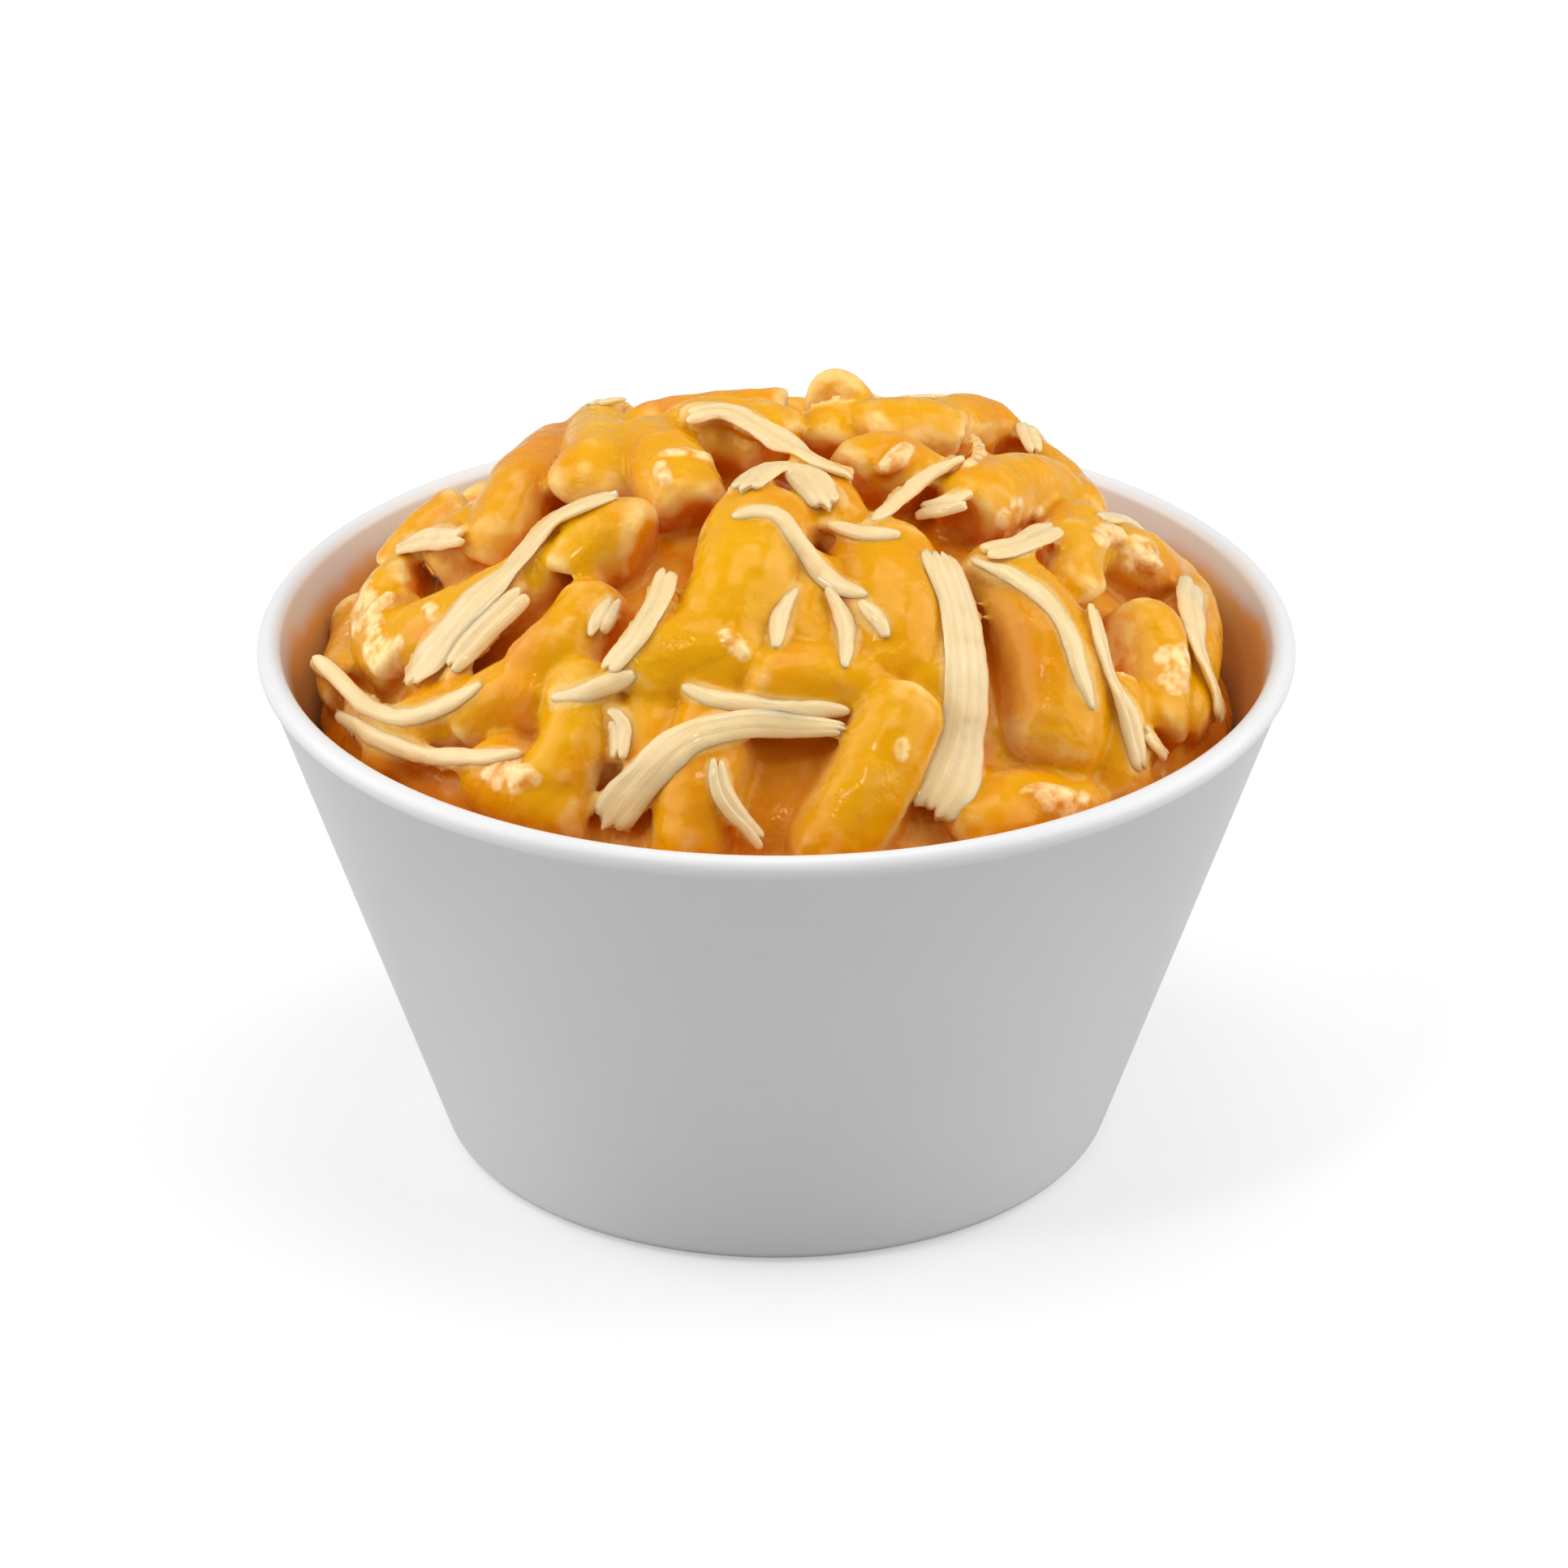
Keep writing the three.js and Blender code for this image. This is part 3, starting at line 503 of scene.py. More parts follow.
def fill_elbows(elbows):
    """Adds elbows wherever the heap has room for one."""
    draw = make_draw(FILL_SEED)
    tones = make_draw(FILL_SEED + 1)
    spread = inner_radius(HEAP_EDGE) - FILL_RADIUS[0]
    for i in range(FILL_TRIES):
        radius = draw(FILL_RADIUS)
        half = draw(FILL_LENGTH) / 2
        bow = draw(FILL_BOW)
        heading = draw((0, math.pi))
        lift = draw(FILL_LIFT)
        out = spread * math.sqrt((i + 0.5) / FILL_TRIES)
        x = out * math.cos(i * GOLDEN_ANGLE)
        y = out * math.sin(i * GOLDEN_ANGLE)
        points = []
        for end in (-1, 0, 1):
            side = bow / 2 if end == 0 else -bow / 2
            px = x + math.cos(heading) * half * end - math.sin(heading) * side
            py = y + math.sin(heading) * half * end + math.cos(heading) * side
            points.append(keep_inside(Vector((px, py, heap_height(px, py) - radius + lift)), radius))
        if all((point - points[1]).length > FILL_SPACING for other in elbows for point in other["points"]):
            ends = (1,) if i % 3 == 0 else ()
            elbows.append({"radius": radius, "open": ends, "tone": tones(FILL_TONE), "points": points})


def all_elbows():
    elbows = placed_elbows()
    fill_elbows(elbows)
    return elbows


# ---------------------------------------------------------------- mesh tools


def deselect():
    bpy.ops.object.select_all(action="DESELECT")


def activate(piece):
    deselect()
    piece.select_set(True)
    bpy.context.view_layer.objects.active = piece


def edit_all():
    """Opens the active object with all of its mesh selected."""
    bpy.ops.object.mode_set(mode="EDIT")
    bpy.ops.mesh.select_all(action="SELECT")


def arc(radius, height, rounding, start, end, steps):
    """Points of an arc in a profile, angles in degrees from the outward direction."""
    angles = [math.radians(start + (end - start) * i / steps) for i in range(steps + 1)]
    return [(radius + rounding * math.cos(a), height + rounding * math.sin(a)) for a in angles]


def turned(name, profile, sides, scale=1.0):
    """A profile of (radius, height) points, drawn point by point and spun about the Z axis."""
    deselect()
    bpy.ops.mesh.primitive_plane_add(size=scale, location=(0, 0, 0))
    piece = bpy.context.object
    piece.name = name
    edit_all()
    bpy.ops.mesh.merge(type="CENTER")
    bpy.ops.transform.translate(value=(profile[0][0] * scale, 0, profile[0][1] * scale))
    for (radius, height), (next_radius, next_height) in zip(profile, profile[1:]):
        step = ((next_radius - radius) * scale, 0, (next_height - height) * scale)
        bpy.ops.mesh.extrude_region_move(TRANSFORM_OT_translate={"value": step})
    bpy.ops.mesh.select_all(action="SELECT")
    bpy.ops.mesh.spin(steps=sides, angle=math.tau, center=(0, 0, 0), axis=(0, 0, 1))
    bpy.ops.mesh.select_all(action="SELECT")
    bpy.ops.mesh.remove_doubles(threshold=MERGE)
    bpy.ops.mesh.normals_make_consistent(inside=False)
    bpy.ops.object.mode_set(mode="OBJECT")
    return piece


def positions(mesh):
    values = np.empty(len(mesh.vertices) * 3)
    mesh.vertices.foreach_get("co", values)
    return values.reshape(-1, 3)


def move_vertices(mesh, values):
    mesh.vertices.foreach_set("co", np.ascontiguousarray(values, dtype=np.float64).ravel())
    mesh.update()


def normals(mesh):
    values = np.empty(len(mesh.vertices) * 3)
    mesh.vertex_normals.foreach_get("vector", values)
    return values.reshape(-1, 3)


def mark(mesh, name, values):
    """Stores a number for each vertex, for the material to read."""
    attribute = mesh.attributes.get(name) or mesh.attributes.new(name, "FLOAT", "POINT")
    attribute.data.foreach_set("value", np.broadcast_to(values, len(mesh.vertices)).astype(np.float32))


def linked(name, data):
    """A new object of a mesh, light or camera."""
    piece = bpy.data.objects.new(name, data)
    bpy.context.collection.objects.link(piece)
    return piece


def joined(name, pieces):
    """One object made of several meshes."""
    deselect()
    for piece in pieces:
        piece.select_set(True)
    bpy.context.view_layer.objects.active = pieces[0]
    if len(pieces) > 1:
        bpy.ops.object.join()
    result = bpy.context.object
    result.name = name
    return result


def discard(*pieces):
    for piece in pieces:
        bpy.data.meshes.remove(piece.data)


def modified(piece, kind, **settings):
    """Adds a modifier and applies it."""
    activate(piece)
    modifier = piece.modifiers.new(kind.title(), kind)
    for key, value in settings.items():
        setattr(modifier, key, value)
    bpy.ops.object.modifier_apply(modifier=modifier.name)


def roughened(piece, size, strength, name):
    """Pushes a surface in and out by a cloudy pattern with lumps of a size."""
    texture = bpy.data.textures.new(name, "CLOUDS")
    texture.noise_scale = size
    texture.noise_depth = 2
    modified(piece, "DISPLACE", texture=texture, strength=strength, mid_level=0.5, texture_coords="GLOBAL")
    bpy.data.textures.remove(texture)


def smooth_shaded(piece):
    activate(piece)
    bpy.ops.object.shade_smooth()


def dressed(piece, material, slot, *nodes):
    """Gives a finished piece its material and its place in the model."""
    piece.data.materials.clear()
    piece.data.materials.append(material)
    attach(piece, BODY)
    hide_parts(*nodes)


def tree_of(pieces):
    """A search tree over the faces of several pieces, in metres."""
    vertices = []
    faces = []
    for piece in pieces:
        first = len(vertices)
        vertices.extend(vertex.co[:] for vertex in piece.data.vertices)
        faces.extend([first + i for i in polygon.vertices] for polygon in piece.data.polygons)
    return BVHTree.FromPolygons(vertices, faces)


def piece_named(name):
    piece = bpy.data.objects.get(name)
    if piece is None:
        raise RuntimeError(f"{name} has to be made first")
    return piece


# ---------------------------------------------------------------- material tools


def node_sum(operation, swapped=False):
    """A way to combine a field with another or with a number, as a math node."""

    def combine(self, other):
        values = (other, self) if swapped else (self, other)
        return add(self.tree, "ShaderNodeMath", dict(enumerate(values)), operation=operation)

    return combine


class Field:
    """A value that varies over a surface, as a shader node puts it out."""

    def __init__(self, socket):
        self.socket = socket
        self.tree = socket.id_data

    __add__ = node_sum("ADD")
    __sub__ = node_sum("SUBTRACT")
    __rsub__ = node_sum("SUBTRACT", swapped=True)
    __mul__ = node_sum("MULTIPLY")
    __truediv__ = node_sum("DIVIDE")
    __rtruediv__ = node_sum("DIVIDE", swapped=True)
    __pow__ = node_sum("POWER")
    most = node_sum("MAXIMUM")


def feed(tree, socket, value):
    """Links a field to an input, or sets the input to a number or colour."""
    if isinstance(value, Field):
        tree.links.new(value.socket, socket)
    else:
        socket.default_value = value


def add(tree, kind, inputs=None, output=0, **settings):
    """Adds a node and gives one of its outputs."""
    node = tree.nodes.new(kind)
    for name, value in settings.items():
        setattr(node, name, value)
    for socket, value in (inputs or {}).items():
        feed(tree, node.inputs[socket], value)
    return Field(node.outputs[output])


def solid(values):
    return (*values, 1)


def blended(amount, first, second):
    """Mixes two colours."""
    return add(amount.tree, "ShaderNodeMix", {0: amount, 6: first, 7: second}, output=2, data_type="RGBA")


def between(value, low, high):
    """0 below low, 1 above high and smooth between them."""
    inputs = {"Value": value, "From Min": low, "From Max": high}
    return add(value.tree, "ShaderNodeMapRange", inputs, interpolation_type="SMOOTHSTEP")


def read(tree, name):
    """A number stored on the mesh."""
    return add(tree, "ShaderNodeAttribute", output="Fac", attribute_name=name)


def clouds(place, size, detail=3.0, roughness=0.55):
    """A cloudy pattern with lumps of a size in metres."""
    inputs = {"Vector": place, "Scale": 1 / size, "Detail": detail, "Roughness": roughness}
    return add(place.tree, "ShaderNodeTexNoise", inputs, output="Fac")


def shades(level, stops):
    """A colour for each level, from the (level, colour) stops."""
    ramp = add(level.tree, "ShaderNodeValToRGB", {0: level})
    elements = ramp.socket.node.color_ramp.elements
    for at, _ in stops[2:]:
        elements.new(at)
    for element, (at, tint) in zip(elements, stops):
        element.position = at
        element.color = solid(tint)
    return ramp


def film_group():
    """How a film of sauce lies: where it is thick, how rough it is and how high it stands."""
    group = bpy.data.node_groups.get("Sauce film")
    if group:
        return group
    group = bpy.data.node_groups.new("Sauce film", "ShaderNodeTree")
    group.interface.new_socket("Place", in_out="INPUT", socket_type="NodeSocketVector")
    for label in ("Blotch", "Wet Roughness", "Set Roughness"):
        group.interface.new_socket(label, in_out="INPUT", socket_type="NodeSocketFloat")
    for label in ("Film", "Roughness", "Height"):
        group.interface.new_socket(label, in_out="OUTPUT", socket_type="NodeSocketFloat")
    place, blotch, wet, dry = (Field(socket) for socket in group.nodes.new("NodeGroupInput").outputs[:4])
    film_and_sheen = between(clouds(place, blotch, 4.0, 0.5), 0.47, 0.62)
    grain = clouds(place, blotch / 5, 3.0, 0.5)
    rough = between(grain, 0.35, 0.7) * (dry - wet) + wet
    values = (film_and_sheen, rough, film_and_sheen + grain * 0.25)
    for socket, value in zip(group.nodes.new("NodeGroupOutput").inputs, values):
        feed(group, socket, value)
    return group


def sauce_film(place, blotch, wet, dry):
    """Where a film of sauce is thick, its roughness and its height."""
    inputs = {"Place": place, "Blotch": blotch, "Wet Roughness": wet, "Set Roughness": dry}
    film_and_sheen = add(place.tree, "ShaderNodeGroup", inputs, node_tree=film_group())
    return [Field(socket) for socket in film_and_sheen.socket.node.outputs]


def new_material(name):
    material = bpy.data.materials.new(name)
    material.use_nodes = True
    tree = material.node_tree
    place = add(tree, "ShaderNodeTexCoord", output="Object")
    return material, tree, tree.nodes["Principled BSDF"], place


def set_shader(shader, **values):
    for name, value in values.items():
        feed(shader.id_data, shader.inputs[name.replace("_", " ")], value)


def relief(height, depth):
    """Fine relief of a depth in metres."""
    return add(height.tree, "ShaderNodeBump", {"Height": height, "Distance": depth}, output="Normal")


def glaze_material(settings):
    """White satin glaze, with painted orange bounce light and shade on the inner wall just above the food.
    """
    material, tree, shader, place = new_material("White glaze")
    paler = solid(min(c * 1.02, 1) for c in settings.glaze)
    glaze = blended(clouds(place, 0.02, 2.0), solid(c * 0.97 for c in settings.glaze), paler)
    flat = add(tree, "ShaderNodeVectorMath", {0: place, 1: (1, 1, 0)}, operation="MULTIPLY")
    radius = add(tree, "ShaderNodeVectorMath", {0: flat}, output="Value", operation="LENGTH")

    def along(direction):
        inputs = {0: place, 1: direction}
        return add(tree, "ShaderNodeVectorMath", inputs, output="Value", operation="DOT_PRODUCT")

    wall = along((0, 0, math.tan(WALL_ANGLE))) + inner_radius(0) * MM
    inside = between(wall - radius, -0.0009, -0.0005)
    # The painted bounce light and shade reaches higher at the front and on the right than at the back.
    level = along((-BOUNCE_LEAN[0] / RIM_RADIUS, BOUNCE_LEAN[1] / RIM_RADIUS, 1))
    level = level + (clouds(place, 0.009) * 0.004 - 0.002) + (clouds(place, 0.03, 1.0) * 0.006 - 0.003)
    painted_bounce = inside * (1 - between(level, BOUNCE_FULL * MM, BOUNCE_END * MM))
    set_shader(
        shader,
        Base_Color=blended(painted_bounce * 0.9, glaze, solid(settings.painted_bounce)),
        Roughness=clouds(place, 0.006) * 0.12 + (settings.roughness - 0.06),
        Normal=relief(clouds(place, 0.003), 0.00004),
        IOR=1.45, Coat_Weight=0.15, Coat_Roughness=0.3,
    )
    return material


def macaroni_material(settings):
    """Cooked pasta under glossy cheese sauce: orange to yellow, with painted shade in the gaps and a
    painted pale sheen on the elbows' sides and crests, and pale patches here and there.
    """
    material, tree, shader, place = new_material("Sauced macaroni")
    openness = read(tree, "openness")
    facing = read(tree, "facing")
    # Painted shade: the colour deepens, unevenly, from the open places to the gaps and down the elbows'
    # sides.
    level = openness + (clouds(place, 0.006, 1.0) * 0.24 - 0.12) + (facing - 1) * SIDE_SHADE
    middle = [(a + b) / 2 for a, b in zip(settings.orange, settings.yellow)]
    orange = shades(level, [(0.15, settings.gap_shade), (0.5, settings.orange), (0.95, middle)])
    yellow = shades(level, [(0.15, settings.gap_shade), (0.45, settings.orange), (0.78, settings.yellow)])
    # Each elbow's share of yellow, partly its own colour and partly painted shade, picks between the ramps
    base = blended(read(tree, "tone") + (clouds(place, 0.013, 1.0) * 1.2 - 0.6), orange, yellow)
    # Painted sheen: the elbows' sides, their crests and half-open places are painted pale, where the
    # lights glance off the wet sauce; random clouds add pale patches of thin sauce film.
    film_and_sheen, rough, height = sauce_film(place, 0.006, settings.roughness, settings.roughness + 0.22)
    side = between(facing, 0.0, 0.2) - between(facing, 0.45, 0.68)
    shaded = between(openness, 0.25, 0.4) - between(openness, 0.55, 0.75)
    side = side.most(shaded * 0.5) * (film_and_sheen * 0.45 + 0.25)
    crest = between(read(tree, "crest"), 0.25, 0.8) * 0.95
    patch = between(clouds(place, 0.009, 1.0), 0.62, 0.75) * 0.2
    sheen_and_patches = side.most(crest).most(patch) * between(openness, 0.2, 0.5)
    melted = between(read(tree, "melted"), 0.1, 0.9)
    froth = between(read(tree, "froth"), 0.1, 0.9)
    curd = froth * between(clouds(place, 0.0016, 2.0), 0.3, 0.6)
    # Painted shade: the bores of open ends and the sauce in the crevices between elbows take the gap colour
    layers = [
        (sheen_and_patches * 0.9, settings.film_and_sheen),
        (read(tree, "bore") * 0.6, settings.gap_shade),
        (read(tree, "sauce") * 0.6, settings.gap_shade),
        (melted * 0.5, settings.film_and_sheen),
        (curd * 0.85, settings.bead),
    ]
    for amount, tint in layers:
        base = blended(amount, base, solid(tint))
    set_shader(
        shader, Base_Color=base, Roughness=rough, Normal=relief(height, 0.00014),
        Coat_Weight=froth * 0.5 + 0.12, Coat_Roughness=0.07, Coat_IOR=1.45,
        IOR=1.45, Specular_IOR_Level=0.38, Specular_Tint=(1, 0.74, 0.28, 1),
        Subsurface_Weight=0.6, Subsurface_Radius=SOFT_GLOW, Subsurface_Scale=0.003,
    )
    return material


def sauce_material(settings):
    """Cheese sauce: a shaded dark orange and a lit paler copy, painted shade and light, mixed in clouds."""
    material, _, shader, place = new_material("Cheese sauce")
    film_and_sheen, rough, height = sauce_film(place, 0.004, 0.2, 0.4)
    set_shader(
        shader, Base_Color=blended(film_and_sheen, solid(settings.gap_shade), solid(settings.light)), Roughness=rough,
        Normal=relief(height, 0.0002), IOR=1.36, Coat_Weight=0.25, Coat_Roughness=0.1, Coat_IOR=1.4,
        Subsurface_Weight=0.5, Subsurface_Radius=SOFT_GLOW, Subsurface_Scale=0.003,
    )
    return material


def cheese_material(settings):
    """Softened grated cheese: pale in the middle of a strip, streaked along it, warmer where sauce has
    soaked in, and warmed by painted shade at its edges and where it sees little sky.
    """
    material, tree, shader, place = new_material("Grated cheese")
    strip = read(tree, "strip")
    lengthways = {0: read(tree, "along") * 0.1, 1: read(tree, "across"), 2: strip}
    grain = add(tree, "ShaderNodeCombineXYZ", lengthways)
    streaks = clouds(grain, 0.45)
    streak = between(streaks, 0.45, 0.65) * 0.35
    # Painted shade warms a strip's edges and the places that see little sky; sauce also soaks in at random
    edge = read(tree, "edge") ** 2.0 * 0.8
    soaked = between(clouds(place, 0.006), 0.45, 0.6) * 0.75
    own = add(tree, "ShaderNodeMath", {0: strip}, operation="FRACT") * 0.2
    hidden_shade = 1 - between(read(tree, "openness"), 0.05, 0.35)
    warm_and_shade = (edge.most(soaked).most(streak) + own).most(hidden_shade)
    _, rough, height = sauce_film(place, 0.003, settings.roughness - 0.1, settings.roughness + 0.12)
    set_shader(
        shader, Base_Color=blended(warm_and_shade, solid(settings.pale), solid(settings.warm_and_shade)), Roughness=rough,
        Normal=relief(streaks + height * 0.3, 0.0001), IOR=1.4, Coat_Weight=0.45, Coat_Roughness=0.14,
        Subsurface_Weight=0.7, Subsurface_Radius=SOFT_GLOW, Subsurface_Scale=0.003,
    )
    return material


# ---------------------------------------------------------------- pieces


def bowl_profile():
    slope = math.degrees(WALL_ANGLE)
    lean = math.tan(math.pi / 4 - WALL_ANGLE / 2)
    ring = FOOT_RADIUS - HEEL_ROUND - FOOT_RING
    lip_radius = RIM_RADIUS - LIP_ROUND
    lip_height = BOWL_HEIGHT - LIP_ROUND
    inner = inner_radius(FLOOR) - INNER_ROUND * lean
    return [
        (0, FOOT_HOLLOW),
        (ring - FOOT_HOLLOW - FOOT_SLOPE, FOOT_HOLLOW),
        (ring - FOOT_BEVEL[0], FOOT_BEVEL[1]),
        (ring, 0),
        *arc(FOOT_RADIUS - HEEL_ROUND * lean, HEEL_ROUND, HEEL_ROUND, -90, -slope, 8),
        *arc(lip_radius, lip_height, LIP_ROUND, *LIP_ARC, 18),
        *arc(inner, FLOOR + INNER_ROUND, INNER_ROUND, -slope, -90, 10),
        (0, FLOOR),
    ]


def core_profile():
    """The pasta and sauce out of sight, which fills the bowl up to the heap."""
    slope = math.degrees(WALL_ANGLE)
    across = GAP / math.cos(WALL_ANGLE)
    low = FLOOR + GAP
    inner = inner_radius(low) - across - INNER_ROUND * math.tan(math.pi / 4 - WALL_ANGLE / 2)
    top = CORE_CUT + GAP
    return [
        (0, low),
        *arc(inner, low + INNER_ROUND, INNER_ROUND, -90, -slope, 6),
        (inner_radius(top) - across, top),
        (0, top),
    ]


def bed_profile():
    """The dome of sauce that the elbows lie on."""
    edge = inner_radius(CORE_EDGE) - GAP / math.cos(WALL_ANGLE)
    foot = CORE_CUT - SAUCE_VOXEL * 3
    radii = [edge * (1 - i / BED_RINGS) for i in range(BED_RINGS)]
    top = CORE_TOP + SAUCE_RISE
    dome = [(radius, dome_height(radius, CORE_EDGE, top)) for radius in radii]
    return [(0, foot), (inner_radius(foot) - GAP / math.cos(WALL_ANGLE), foot), *dome, (0, top)]


def tube_model(open_ends):
    """A straight macaroni, 1 long with a radius of 1, with closed or open ends."""
    first = OPEN_END if 0 in open_ends else CLOSED_END
    last = OPEN_END if 1 in open_ends else CLOSED_END
    low = first[-1][1]
    high = 1 - last[-1][1]
    body = [(1, low + (high - low) * (i + 0.5) / TUBE_RINGS) for i in range(TUBE_RINGS)]
    profile = [*first, *body, *((radius, 1 - depth) for radius, depth in reversed(last))]
    return turned("tube", profile, TUBE_SIDES)


def elbow_curve(elbow, t):
    """The axis of an elbow, with the directions in and across its bend, at shares of its length."""
    start, middle, end = (np.array(point) for point in elbow["points"])
    control = 2 * middle - (start + end) / 2
    t = t[:, None]
    line = (1 - t) ** 2 * start + 2 * (1 - t) * t * control + t**2 * end
    tangent = unit(2 * (1 - t) * (control - start) + 2 * t * (end - control))
    plane = np.cross(control - start, end - control)
    if np.linalg.norm(plane) < 1e-6:
        plane = np.cross(end - start, (0, 0, 1))
    plane /= np.linalg.norm(plane)
    return line, np.cross(plane, tangent), plane


def bent(model, elbow, slimmer, reach, wander):
    """A copy of a straight model, bent along an elbow's curve."""
    mesh = model.data.copy()
    x, y, z = positions(mesh).T
    t = reach[0] + (reach[1] - reach[0]) * z
    line, inwards, plane = elbow_curve(elbow, t)
    oval = 1 + OVAL * math.sin(wander)
    swell = 1 + SWELL * np.sin(wander * 3 + 5 * t)
    radius = (elbow["radius"] * swell - slimmer)[:, None]
    place = line + radius * (x[:, None] * oval * inwards + y[:, None] / oval * plane)
    move_vertices(mesh, place * MM)
    return linked("elbow", mesh)


class MACBOWL_OT_bowl(Operator):
    """Makes the white bowl"""

    bl_idname = "macbowl.bowl"
    bl_label = "Bowl"

    def execute(self, context):
        settings = context.scene.macbowl_bowl
        bowl = turned("stoneware_bowl", bowl_profile(), settings.sides, MM)
        smooth_shaded(bowl)
        bpy.ops.object.shade_smooth_by_angle(angle=SHARP_ANGLE)
        dressed(bowl, glaze_material(settings), "bowl_glaze", "bowl")
        return {"FINISHED"}


class MACBOWL_OT_core(Operator):
    """Makes the core of sauced pasta that fills the bowl"""

    bl_idname = "macbowl.core"
    bl_label = "Core"

    def execute(self, context):
        core = turned("cheese_sauce", core_profile(), BED_SIDES, MM)
        smooth_shaded(core)
        dressed(core, sauce_material(context.scene.macbowl_sauce), "sauced_pasta", "macaroni")
        return {"FINISHED"}


def sauce_bed(elbows):
    """A bed of sauce, filled in between the elbows."""
    model = tube_model(())
    pieces = [turned("bed", bed_profile(), BED_SIDES, MM)]
    for i, elbow in enumerate(elbows):
        reach = [
            BORE_REACH if 0 in elbow["open"] else SAUCE_REACH[0],
            1 - BORE_REACH if 1 in elbow["open"] else SAUCE_REACH[1],
        ]
        pieces.append(bent(model, elbow, SAUCE_INSET, reach, i))
    discard(model)
    bed = joined("bed", pieces)
    modified(bed, "REMESH", mode="VOXEL", voxel_size=SAUCE_VOXEL * MM)
    modified(bed, "SMOOTH", factor=0.5, iterations=SAUCE_SMOOTHING)
    return bed


def mark_elbows(piece, elbows):
    """Marks each vertex with how yellow the elbow it lies on is, which is partly painted shade, and whether
    it lies in an elbow's bore.
    """
    places = positions(piece.data) / MM

    def distance(elbow, start, end, steps):
        line = elbow_curve(elbow, np.linspace(start, end, steps))[0]
        nearest = np.min([((places - point) ** 2).sum(axis=1) for point in line], axis=0)
        return np.sqrt(nearest) / elbow["radius"]

    distances = np.array([distance(elbow, 0, 1, 15) for elbow in elbows])
    bores = [distance(elbow, end, abs(end - BORE_LENGTH), 9) for elbow in elbows for end in elbow["open"]]
    least = distances.min(axis=0)
    weights = np.exp((least - distances) / TONE_BLEND)
    tones = np.array([[elbow["tone"]] for elbow in elbows])
    mark(piece.data, "tone", (weights * tones).sum(axis=0) / weights.sum(axis=0))
    mark(piece.data, "bore", np.clip((BORE_EDGE - np.min(bores, axis=0)) / MARK_FADE, 0, 1))
    mark(piece.data, "sauce", np.clip((least - 1) / MARK_FADE, 0, 1))


def surface_point(tree, across, up):
    """Where the line of sight through a place meets the food, with the direction that faces out of it."""
    place, normal, _, _ = tree.ray_cast(EYE * MM, sight(across, up))
    return place, normal


def surface_below(tree, x, y):
    """Where the food lies below a place, with the direction that faces out of it."""
    place, normal, _, _ = tree.ray_cast(Vector((x, y, ROOM_TOP)) * MM, Vector((0, 0, -1)))
    return place, normal


def over_heap(x, y, lift):
    """The place at a height over the heap's surface."""
    return Vector((x, y, heap_height(x, y) + lift))


def spaced_line(places, step):
    """Points a step apart along a smooth line through (across, up, lift) places."""
    knots = [Vector((*place, 0)[:3]) for place in places]
    knots = [2 * knots[0] - knots[1], *knots, 2 * knots[-1] - knots[-2]]
    fine = []
    for a, b, c, d in zip(knots, knots[1:], knots[2:], knots[3:]):
        for i in range(LINE_STEPS):
            t = i / LINE_STEPS
            near = 2 * b + (c - a) * t + (2 * a - 5 * b + 4 * c - d) * t**2
            fine.append(0.5 * (near + (3 * b - a - 3 * c + d) * t**3))
    fine.append(knots[-2])
    runs = np.concatenate(([0], np.cumsum([(b - a).length for a, b in zip(fine, fine[1:])])))
    count = max(6, math.ceil(runs[-1] / step))
    at = np.linspace(0, runs[-1], count + 1)
    return np.stack([np.interp(at, runs, [point[i] for point in fine]) for i in range(3)], axis=1)


def averaged(values, rounds):
    """Evens out a run of numbers or points, keeping its ends."""
    values = np.array(values, dtype=float)
    for _ in range(rounds):
        values[1:-1] = (values[:-2] + 2 * values[1:-1] + values[2:]) / 4
    return values


def draped_line(places, widths, thickness, sunk, trees, meet, onto):
    """The middle line of a strip, laid over the food, and how far it leans sideways at each point. A place
    meets the food, and is carried onto the heap, along its line of sight or straight down."""
    spots = spaced_line(places, SHRED_STEP)
    ahead = np.gradient(spots[:, :2], axis=0)
    ahead /= np.linalg.norm(ahead, axis=1)[:, None]
    heights = []
    for i, (across, up, _) in enumerate(spots):
        width = widths[0] + (widths[1] - widths[0]) * i / (len(spots) - 1)
        row = []
        for side in SHRED_PROBES:
            aim = (across + ahead[i, 1] * side * width, up - ahead[i, 0] * side * width)
            hits = [meet(tree, *aim)[0] for tree in trees]
            over = [hit.z / MM - heap_height(hit.x / MM, hit.y / MM) for hit in hits if hit is not None]
            row.append(max(over, default=0))
        heights.append(row)
    heights = np.array(heights)
    top = heights.max(axis=1)
    steps = np.abs(np.subtract.outer(np.arange(len(top)), np.arange(len(top))))
    held = (top[None, :] - SHRED_DIVE * SHRED_STEP * steps).max(axis=1)
    held = np.maximum(averaged(held, 4), top - 0.3)
    lean = averaged(heights[:, 2] - heights[:, 0], 6)
    line = []
    for (across, up, lift), height in zip(spots, held):
        rise = height + thickness / 2 - sunk + lift
        line.append(keep_inside(onto(across, up, rise), thickness / 2))
    return averaged(line, 3), lean


def strip_model():
    """A straight strip, 1 long with a radius of 1."""
    profile = [
        *STRIP_END,
        *((1, 0.06 + 0.88 * i / STRIP_RINGS) for i in range(STRIP_RINGS + 1)),
        *((radius, 1 - depth) for radius, depth in reversed(STRIP_END)),
    ]
    return turned("strip_model", profile, STRIP_SIDES)


def wavering(places, row):
    """A smooth random run of numbers from -1 to 1, one for each place along a row."""
    return np.array([noise.noise(Vector((place, row, 0))) for place in places])


